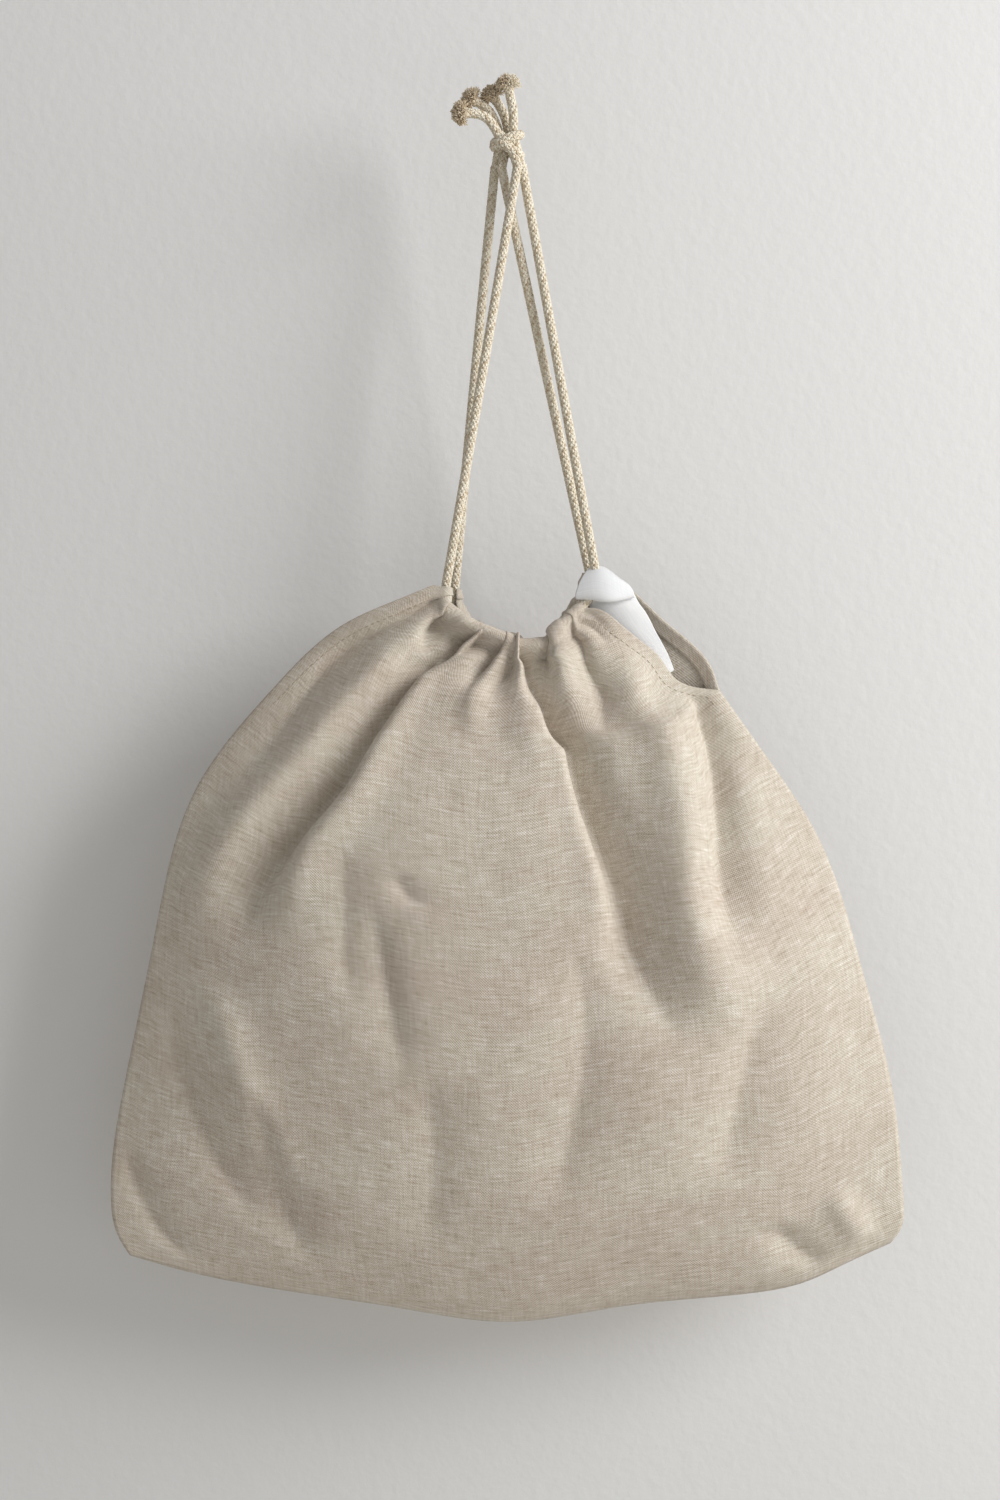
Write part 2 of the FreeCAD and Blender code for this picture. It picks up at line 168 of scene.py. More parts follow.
def flat_lengths(grid):
    """UV of a grid in metres: arc length along each row from its middle, and up each column."""
    across = np.zeros(grid.shape[:2])
    across[:, 1:] = np.cumsum(np.linalg.norm(np.diff(grid, axis=1), axis=2), axis=1)
    across -= across[:, grid.shape[1] // 2][:, None]
    up = np.zeros(grid.shape[:2])
    up[1:] = np.cumsum(np.linalg.norm(np.diff(grid, axis=0), axis=2), axis=0)
    return np.stack([across, up], -1)


# %% [markdown]
# ## Finishes
# Shader groups hold what several finishes share.  They put out only masks and heights, and each material
# keeps its own shader.  Colours are written as they look, in sRGB, and turned into linear light here.

# %% Node helpers
def srgb(red, green, blue):
    def channel(c):
        c /= 255
        return c / 12.92 if c <= 0.04045 else ((c + 0.055) / 1.055) ** 2.4
    return channel(red), channel(green), channel(blue), 1.0


class Nodes:
    """Adds nodes to a tree and links or sets their inputs by name or number."""

    def __init__(self, tree):
        self.tree = tree

    def add(self, kind, settings=None, **inputs):
        node = self.tree.nodes.new(kind)
        for name, value in (settings or {}).items():
            setattr(node, name, value)
        for name, value in inputs.items():
            self.put(node.inputs[int(name[1:]) if name[0] == "_" else name.replace("_", " ")], value)
        return node

    def make(self, kind, settings=None, **inputs):
        """The first output of a new node."""
        return self.add(kind, settings, **inputs).outputs[0]

    def vector(self, x, y, z):
        return self.make("ShaderNodeCombineXYZ", X=x, Y=y, Z=z)

    def put(self, socket, value):
        if isinstance(value, bpy.types.NodeSocket):
            self.tree.links.new(value, socket)
        else:
            socket.default_value = value

    def math(self, operation, first, second=0.0, third=0.0):
        return self.make("ShaderNodeMath", {"operation": operation}, _0=first, _1=second, _2=third)

    def stretched(self, place, along_x, along_y, detail=2.0, seed=0.0):
        """Noise whose cells are that many to the metre along and across the cloth."""
        scaled = self.make("ShaderNodeVectorMath", {"operation": "MULTIPLY"}, _0=place,
                           _1=(along_x, along_y, 1.0))
        moved = self.make("ShaderNodeVectorMath", {"operation": "ADD"}, _0=scaled,
                          _1=(seed, seed * 1.7, seed * 0.3))
        return self.add("ShaderNodeTexNoise", Vector=moved, Scale=1.0, Detail=detail).outputs["Fac"]


def shader_group(name, inputs, outputs):
    """An empty group, its node helper, and the sockets inside it that give and take values."""
    tree = bpy.data.node_groups.new(name, "ShaderNodeTree")
    for label, kind, value in inputs:
        socket = tree.interface.new_socket(label, in_out="INPUT", socket_type=kind)
        if value is not None:
            socket.default_value = value
    for label in outputs:
        tree.interface.new_socket(label, in_out="OUTPUT", socket_type="NodeSocketFloat")
    nodes = Nodes(tree)
    return tree, nodes, nodes.add("NodeGroupInput").outputs, nodes.add("NodeGroupOutput").inputs


# %% [markdown]
# ### Woven cloth
# Linen yarn is uneven: thick and thin places, called slubs, run along each thread.  A plain weave is a
# checkerboard of small bumps, one thread over and one under.  The group makes the bumps from two sine
# waves and the slubs from noise that is stretched along the weft and, more faintly, along the warp.

# %% Woven cloth group
def make_weave_group():
    tree, n, given, out = shader_group(
        "woven cloth",
        [("Flat", "NodeSocketVector", None), ("Threads per metre", "NodeSocketFloat", 1500.0),
         ("Slub length", "NodeSocketFloat", 0.02), ("Warp share", "NodeSocketFloat", 0.4)],
        ["Slubs", "Patches", "Weave", "Height"])
    place = n.add("ShaderNodeSeparateXYZ", Vector=given["Flat"])
    threads = given["Threads per metre"]
    waves = [n.math("SINE", n.math("MULTIPLY", n.math("MULTIPLY", place.outputs[axis], threads), math.pi))
             for axis in (0, 1)]
    checker = n.math("MULTIPLY", waves[0], waves[1])
    per_slub = n.math("DIVIDE", 1.0, given["Slub length"])

    def thread_noise(along, across, seed, detail):
        parts = [n.math("MULTIPLY", place.outputs[along], per_slub),
                 n.math("MULTIPLY", place.outputs[across], n.math("MULTIPLY", threads, 0.55))]
        at = n.vector(parts[0], parts[1], seed)
        return n.add("ShaderNodeTexNoise", Vector=at, Scale=1.0, Detail=detail, Roughness=0.7).outputs["Fac"]
    weft = thread_noise(0, 1, 3.1, 2.0)
    warp = thread_noise(1, 0, 8.7, 2.0)
    slubs = n.make("ShaderNodeMix", _0=given["Warp share"], _2=weft, _3=warp)
    n.put(out["Slubs"], slubs)
    n.put(out["Patches"], n.stretched(given["Flat"], 14.0, 42.0, 3.0, 5.3))
    n.put(out["Weave"], checker)
    n.put(out["Height"], n.math("ADD", n.math("MULTIPLY", checker, 0.5), n.math("MULTIPLY", slubs, 1.6)))
    return tree


WEAVE = make_weave_group()


# %% Shared fibre group
def make_fibre_group():
    """Fine twist lines along a yarn, and its soft uneven tone."""
    tree, n, given, out = shader_group(
        "spun yarn",
        [("Along", "NodeSocketVector", None), ("Twists per metre", "NodeSocketFloat", 900.0)],
        ["Twist", "Tone"])
    place = n.add("ShaderNodeSeparateXYZ", Vector=given["Along"])
    turn = n.math("ADD", n.math("MULTIPLY", place.outputs[1], given["Twists per metre"]),
                  n.math("MULTIPLY", place.outputs[0], 3.0))
    n.put(out["Twist"], n.math("SINE", n.math("MULTIPLY", turn, 2 * math.pi)))
    n.put(out["Tone"], n.stretched(given["Along"], 2.0, 260.0, 3.0, 1.9))
    return tree


FIBRE = make_fibre_group()
print("shader groups:", WEAVE.name + ",", FIBRE.name)


# %% Materials
def material_nodes(name):
    material = bpy.data.materials.new(name)
    material.use_nodes = True
    nodes = Nodes(material.node_tree)
    shader = material.node_tree.nodes["Principled BSDF"]
    return material, nodes, shader


def ramp(nodes, value, stops):
    """A colour for each value, between the (place, colour) stops."""
    node = nodes.add("ShaderNodeValToRGB", Fac=value)
    bar = node.color_ramp.elements
    while len(bar) < len(stops):
        bar.new(0.5)
    for element, (place, colour) in zip(bar, stops):
        element.position, element.color = place, colour
    return node.outputs["Color"]


def mix_colour(nodes, blend, share, first, second):
    """Two colours blended; the node's inputs 6 and 7 are its colour sockets, and output 2 the result."""
    node = nodes.add("ShaderNodeMix", {"data_type": "RGBA", "blend_type": blend}, _0=share)
    nodes.put(node.inputs[6], first)
    nodes.put(node.inputs[7], second)
    return node.outputs[2]


WEAVE_DEPTH, TWIST_DEPTH = 0.0004, 0.0003     # how high a thread and a twist of yarn stand, in metres
WEAVE_SHADE, TWIST_SHADE = 0.045, 0.05        # painted shade: how much the colour darkens in the hollows beside them


def woven_material(name, threads, slub, warp_share, stops, patch_stops, bump, roughness):
    """threads is to the metre, slub a length in metres; the stops colour slubs and broad patches."""
    material, n, shader = material_nodes(name)
    flat = n.make("ShaderNodeUVMap", {"uv_map": "flat"})
    cloth = n.add("ShaderNodeGroup", {"node_tree": WEAVE}, Flat=flat, Threads_per_metre=threads,
                  Slub_length=slub, Warp_share=warp_share).outputs
    thread = ramp(n, cloth["Slubs"], stops)
    patches = ramp(n, cloth["Patches"], patch_stops)
    base = mix_colour(n, "MULTIPLY", 1.0, thread, patches)
    # painted shade and light: the weave's checker darkens the colour between the threads and brightens it a
    # touch on their tops
    painted_weave_shade = n.math("MULTIPLY_ADD", cloth["Weave"], WEAVE_SHADE, 0.98)
    shaded = mix_colour(n, "MULTIPLY", 1.0, base, n.vector(painted_weave_shade, painted_weave_shade, painted_weave_shade))
    n.put(shader.inputs["Base Color"], shaded)
    n.put(shader.inputs["Roughness"], n.math("MULTIPLY_ADD", cloth["Slubs"], 0.2, roughness))
    n.put(shader.inputs["Normal"], n.make("ShaderNodeBump", Strength=bump, Distance=WEAVE_DEPTH,
                                          Height=cloth["Height"]))
    shader.inputs["Sheen Weight"].default_value = 0.15
    shader.inputs["Sheen Roughness"].default_value = 0.5
    shader.inputs["Specular IOR Level"].default_value = 0.25
    return material


# %% [markdown]
# The linen is woven from flax that was never bleached evenly: cream, beige and grey fibres mix in one
# thread.  The ramp over the slubs gives that heathered colour, and broad faint patches keep a large
# panel from looking printed.

# %% Linen and cotton
LINEN = woven_material(
    "linen", threads=1500.0, slub=0.011, warp_share=0.36, bump=0.55, roughness=0.72,
    stops=[(0.28, srgb(172, 160, 145)), (0.43, srgb(199, 189, 175)), (0.56, srgb(211, 203, 192)),
           (0.72, srgb(233, 227, 220))],
    patch_stops=[(0.30, srgb(246, 241, 238)), (0.65, srgb(255, 255, 252))])
COTTON = woven_material(
    "casing_cotton", threads=2600.0, slub=0.03, warp_share=0.5, bump=0.25, roughness=0.42,
    stops=[(0.3, srgb(228, 229, 230)), (0.7, srgb(242, 242, 242))],
    patch_stops=[(0.35, srgb(246, 247, 249)), (0.65, srgb(255, 255, 255))])


# %% Yarn finishes
def yarn_material(name, stops, bump):
    """stops colour whole yarns, each by its own number, which is the whole part of its U."""
    material, n, shader = material_nodes(name)
    along = n.make("ShaderNodeUVMap", {"uv_map": "flat"})
    fibre = n.add("ShaderNodeGroup", {"node_tree": FIBRE}, Along=along).outputs
    number = n.math("FLOOR", n.make("ShaderNodeSeparateXYZ", Vector=along))
    pick = n.add("ShaderNodeTexWhiteNoise", {"noise_dimensions": "1D"}, W=number).outputs["Value"]
    colour = ramp(n, n.math("MULTIPLY_ADD", fibre["Tone"], 0.5, n.math("MULTIPLY", pick, 0.62)), stops)
    # painted shade: the colour darkens in the grooves between the yarn's twists
    lines = n.math("MULTIPLY_ADD", fibre["Twist"], TWIST_SHADE, 0.95)
    shaded = mix_colour(n, "MULTIPLY", 1.0, colour, n.vector(lines, lines, lines))
    n.put(shader.inputs["Base Color"], shaded)
    n.put(shader.inputs["Roughness"], n.math("MULTIPLY_ADD", fibre["Tone"], 0.2, 0.65))
    n.put(shader.inputs["Normal"], n.make("ShaderNodeBump", Strength=bump, Distance=TWIST_DEPTH,
                                          Height=fibre["Twist"]))
    shader.inputs["Sheen Weight"].default_value = 0.2
    shader.inputs["Specular IOR Level"].default_value = 0.2
    return material


CORD_YARN = yarn_material("braided_cord", [(0.25, srgb(202, 184, 156)), (0.42, srgb(222, 208, 184)),
                                           (0.75, srgb(238, 230, 212))], 0.5)
LOOSE_FIBRE = yarn_material("frayed_cotton", [(0.25, srgb(214, 194, 164)), (0.6, srgb(238, 228, 208))], 0.3)
THREAD = yarn_material("sewing_thread", [(0.2, srgb(176, 162, 140)), (0.7, srgb(208, 198, 178))], 0.4)
print("materials:", ", ".join(m.name for m in (LINEN, COTTON, CORD_YARN, LOOSE_FIBRE, THREAD)))

# %% [markdown]
# ## The two drawcords
# Each drawcord is one soft braided cotton cord, 5 mm thick.  It runs through its tunnel along the mouth
# and comes up at both ends, pulled straight by the weight of the bag.  A route is a few control points of
# a NURBS spline, and everything on a cord follows the line that the spline gives.
#
# The line of the mouth is this file's own.  It drops steeply at the left and comes up early at the right,
# so near the right exits it lies up to 11 mm from the rounder line of the CAD tunnels.
#
# A braid could be a bumpy texture on a tube, but its outline would stay smooth.  Here the yarns are real:
# half of them wind one way and half the other, and each dips under every second yarn that it meets.

# %% Routes of the cords
OUTWARD = {"front": -1, "back": 1}            # which way along Y leads out of the bag
STRAND_ROUTES = {                             # from the exit in the mouth up to the knot
    "front_cord_left_strand": [(-0.0305, -0.0065, -0.2115), (-0.0122, -0.0052, -0.1057),
                               (0.0055, -0.0040, 0.0)],
    "front_cord_right_strand": [(0.0440, -0.0065, -0.2035), (0.0254, -0.0030, -0.1017),
                                (0.0075, 0.0008, 0.0)],
    "back_cord_left_strand": [(-0.0262, 0.0065, -0.2115), (-0.0164, 0.0058, -0.1057),
                              (-0.0060, 0.0050, 0.0)],
    "back_cord_right_strand": [(0.0415, 0.0065, -0.2035), (0.0189, 0.0036, -0.1017),
                               (-0.0030, 0.0008, 0.0)],
}
EXITS = {side: [STRAND_ROUTES[f"{side}_cord_{hand}_strand"][0] for hand in ("left", "right")]
         for side in OUTWARD}
MOUTH_SAG, MOUTH_LEAN = 0.037, 0.0065         # how far a tunnel hangs down and bulges out between its exits
TUNNEL_STOPS = [(0.0, 0.0, 0.0), (-0.02, 0.29, 0.08), (0.07, 0.52, 0.4), (0.29, 0.7, 0.85),
                (0.51, 0.93, 1.0), (0.69, 0.96, 1.0), (0.815, 0.66, 0.7), (0.925, 0.44, 0.4),
                (1.0, 0.24, 0.08), (1.0, 0.0, 0.0)]


def tunnel_route(side):
    """Share across, share of the sag and share of the lean, from the left exit to the right one."""
    left, right = (np.array(p) for p in EXITS[side])
    furthest = OUTWARD[side] * MOUTH_LEAN
    return [left + (right - left) * share + np.array([0, furthest * lean, -MOUTH_SAG * sag])
            for share, sag, lean in TUNNEL_STOPS]


print("exits:", EXITS)


# %% Lines along a route
def nurbs_line(points, step=0.0004):
    """The even points of a NURBS spline through its control points."""
    curve = bpy.data.curves.new("route", "CURVE")
    curve.dimensions = "3D"
    spline = curve.splines.new("NURBS")
    spline.points.add(len(points) - 1)
    for control, place in zip(spline.points, points):
        control.co = (*place, 1.0)
    spline.order_u = 3
    spline.use_endpoint_u = True
    spline.resolution_u = 32
    holder = bpy.data.objects.new("route", curve)
    mesh = bpy.data.meshes.new_from_object(holder)
    line = np.array([v.co for v in mesh.vertices])
    bpy.data.objects.remove(holder)
    bpy.data.meshes.remove(mesh)
    shares, length = arc_shares(line)
    even = np.linspace(0, 1, max(8, int(length / step)))
    return np.stack([np.interp(even, shares, axis) for axis in line.T], -1)


def frames_along(line):
    """Tangent and two sideways directions at each point, turned as little as possible on the way."""
    tangent = np.gradient(line, axis=0)
    tangent /= np.linalg.norm(tangent, axis=1)[:, None]
    first = np.zeros_like(line)
    start = np.cross(tangent[0], (0.3, 1.0, 0.2))
    for i, ahead in enumerate(tangent):
        start = start - ahead * start.dot(ahead)
        start /= np.linalg.norm(start)
        first[i] = start
    return tangent, first, np.cross(tangent, first)


# %% [markdown]
# ### Braiding
# A yarn's angle round the cord grows with the distance along it, and its distance from the middle swings
# with a cosine that has one period for every two yarns that it crosses.  Yarns that wind the other way
# swing the opposite way, so that wherever two meet, one is out and the other in.

# %% Braid
YARNS_EACH_WAY = 6
BRAID_PITCH = 0.017
BRAID_RADIUS = 0.00178
BRAID_LIFT = 0.00024
YARN_HALF_WIDTH = 0.00078
YARN_HALF_HEIGHT = 0.00046
YARN_SIDES = 6
YARN_MARGIN = 0.02           # keeps a yarn's U clear of the whole numbers, which tell the yarns apart


def braid(name, line, swell=None):
    """A braided cord along a line.  swell scales the cord at each point of the line."""
    tangent, first, second = frames_along(line)
    _, length = arc_shares(line)
    s = np.linspace(0, length, len(line))
    swell = np.ones(len(line)) if swell is None else swell
    turn = 2 * np.pi / BRAID_PITCH
    around = np.linspace(0, 2 * np.pi, YARN_SIDES, endpoint=False)
    points, faces, uv, count = [], [], [], 0
    for hand in (1, -1):
        for yarn in range(YARNS_EACH_WAY):
            angle = 2 * np.pi * yarn / YARNS_EACH_WAY + hand * turn * s
            radius = (BRAID_RADIUS + hand * BRAID_LIFT * np.cos(YARNS_EACH_WAY * turn * s)) * swell
            out = np.cos(angle)[:, None] * first + np.sin(angle)[:, None] * second
            centre = line + out * radius[:, None]
            ahead = np.gradient(centre, axis=0)
            side = np.cross(ahead, out)
            side /= np.linalg.norm(side, axis=1)[:, None]
            ring = (centre[:, None] + side[:, None] * (np.cos(around) * YARN_HALF_WIDTH)[None, :, None]
                    * swell[:, None, None]
                    + out[:, None] * (np.sin(around) * YARN_HALF_HEIGHT)[None, :, None])
            quads = grid_faces(len(line), YARN_SIDES, around=True)[:, ::-1]
            number = yarn + (YARNS_EACH_WAY if hand < 0 else 0)
            at_row, at_side = quads // YARN_SIDES, np.array([0, 1, 1, 0])[::-1]
            share = (quads[:, :1] % YARN_SIDES + at_side) / YARN_SIDES
            uv.append(np.stack([number + YARN_MARGIN + (1 - 2 * YARN_MARGIN) * share, s[at_row]], -1))
            points.append(ring.reshape(-1, 3))
            faces.append(quads + count)
            count += ring.shape[0] * YARN_SIDES
    return mesh_object(name, np.concatenate(points), np.concatenate(faces), np.concatenate(uv), CORD_YARN)


STRANDS = {name: nurbs_line(route, 0.0005) for name, route in STRAND_ROUTES.items()}
TUNNELS = {side: nurbs_line(tunnel_route(side)) for side in EXITS}
for name, line in {**STRANDS, **TUNNELS}.items():
    print(name, "length", round(arc_shares(line)[1] / MM, 1), "mm")


# %% [markdown]
# ## The linen panels
# Each panel is cut flat and sewn to the other along its sides and bottom.  Above the side seams the edges
# are hemmed and left open as slits, and the top is folded over a drawcord and gathered, so that some
# 400 mm of cloth bunches up along 115 mm of cord.  From each gather a fold runs down into the panel.
#
# A cloth solver alone gives folds in places of its own choosing.  So the panel starts as a surface that
# fills its four edges, with its belly and its main folds given, and then a solver works on it: it
# evens out how the cloth is stretched, and lets the slack buckle the way linen does.

# %% Edges of a panel
# The sides and slits are shares of the way out and up from the corner or the slit's foot.
LEFT_CORNER, RIGHT_CORNER = np.array([-0.1885, -0.545]), np.array([0.1915, -0.539])
LEFT_SLIT_FOOT, RIGHT_SLIT_FOOT = np.array([-0.118, -0.263]), np.array([0.106, -0.2625])
HALF_WIDTH = 0.198
BOTTOM_DROP = 0.578
SLIT_ROW = 0.76              # share of a panel's height that lies below the slits
LEFT_SIDE = [(0.956, 0.035), (1.0, 0.11), (0.91, 0.31), (0.72, 0.575), (0.47, 0.825)]
RIGHT_SIDE = [(0.984, 0.024), (1.0, 0.085), (0.95, 0.26), (0.78, 0.49), (0.52, 0.745), (0.277, 0.87)]
LEFT_SLIT = [(0.45, 0.63), (0.78, 0.86)]
RIGHT_SLITS = {"front": [(0.34, 0.16), (0.444, 0.40), (0.563, 0.573), (0.763, 0.84), (0.896, 0.985)],
               "back": [(0.07, 0.2), (0.34, 0.486), (0.52, 0.64), (0.76, 0.867)]}
BOTTOM = [(0.07, 0.29), (0.2, 0.56), (0.36, 0.82), (0.5, 1.0), (0.645, 0.79), (0.82, 0.6), (0.885, 0.46),
          (0.94, 0.2)]
TOP_DROP = 0.0065            # from the cord's middle down to where the panel starts
TOP_ENDS = {"front": 0.83, "back": 1.0}      # share of its tunnel where a panel's right corner is
CORNER_DROP = 0.0015         # the drop at that corner, where the edge of the cloth lies on the cord
CORNER_SHARE = 1 / 6         # share of the top edge over which the drop changes
TOP_STEP = 12                # points of the cord's line to each point of the top edge
print("row width at the slits' feet:", round(float(RIGHT_SLIT_FOOT[0] - LEFT_SLIT_FOOT[0]), 3))


# %% Outline of a panel
class Outline:
    """The four edges of a panel in the XZ plane, blended into its inside."""

    def __init__(self, side):
        line = TUNNELS[side][:int(TOP_ENDS[side] * len(TUNNELS[side]))]
        ahead = np.gradient(line[:, [0, 2]], axis=0)
        ahead /= np.linalg.norm(ahead, axis=1)[:, None]
        drop = TOP_DROP + np.zeros(len(line))
        if TOP_ENDS[side] < 1:
            drop -= (TOP_DROP - CORNER_DROP) * smooth(np.linspace(1 - 1 / CORNER_SHARE, 1, len(line)))
        top = line[:, [0, 2]] + np.stack([ahead[:, 1], -ahead[:, 0]], -1) * drop[:, None]
        self.top = Edge(np.concatenate([top[:-TOP_STEP // 2:TOP_STEP], top[-1:]]))
        middle = (LEFT_CORNER[1] + RIGHT_CORNER[1]) / 2
        sag = BOTTOM_DROP + middle
        across = RIGHT_CORNER[0] - LEFT_CORNER[0]
        low = [(LEFT_CORNER[0] + across * x, middle - sag * z) for x, z in BOTTOM]
        self.bottom = Edge([LEFT_CORNER, *low, RIGHT_CORNER])
        self.sides = [self.side(LEFT_CORNER, LEFT_SLIT_FOOT, LEFT_SIDE, LEFT_SLIT, 0.0),
                      self.side(RIGHT_CORNER, RIGHT_SLIT_FOOT, RIGHT_SIDE, RIGHT_SLITS[side], 1.0)]

    def side(self, corner, foot, sewn, slit, end):
        """The sewn edge below a slit's foot and the open edge above it."""
        out = np.array([np.sign(foot[0]) * (HALF_WIDTH - abs(foot[0])), foot[1] - corner[1]])
        edge = [corner] + [(foot[0] + out[0] * x, corner[1] + out[1] * z) for x, z in sewn] + [foot]
        rise = self.top.at(end) - foot
        return Edge(edge), Edge([foot] + [foot + rise * np.array(share) for share in slit] + [foot + rise])

    def side_at(self, which, v):
        sewn, slit = self.sides[which]
        low = sewn.at(np.clip(v / SLIT_ROW, 0, 1))
        high = slit.at(np.clip((v - SLIT_ROW) / (1 - SLIT_ROW), 0, 1))
        return np.where((v <= SLIT_ROW)[..., None], low, high)

    def at(self, u, v):
        """A Coons patch: the four edges, blended across and up."""
        left, right, low, high = self.side_at(0, v), self.side_at(1, v), self.bottom.at(u), self.top.at(u)
        ends = [edge.at(end) for edge in (self.bottom, self.top) for end in (0.0, 1.0)]
        u, v = u[..., None], v[..., None]
        return ((1 - v) * low + v * high + (1 - u) * left + u * right - (1 - u) * (1 - v) * ends[0]
                - u * (1 - v) * ends[1] - (1 - u) * v * ends[2] - u * v * ends[3])


OUTLINES = {side: Outline(side) for side in EXITS}
print("top edges, mm:", {side: round(arc_shares(o.top.line)[1] / MM, 1) for side, o in OUTLINES.items()})

# %% [markdown]
# ### Folds
# A fold is a short list of places down the panel, each a share across and a share up.  It has a height,
# positive for a ridge and negative for a crease, and a half width, both in millimetres at its top and at
# its foot.  A crease is pointed and a ridge is round.  `lean` is how far the fold falls over sideways for
# each millimetre of its height.  A crease that leans one way slides under the cloth on that side, and
# that is what makes the crisp dark line of a pleat.

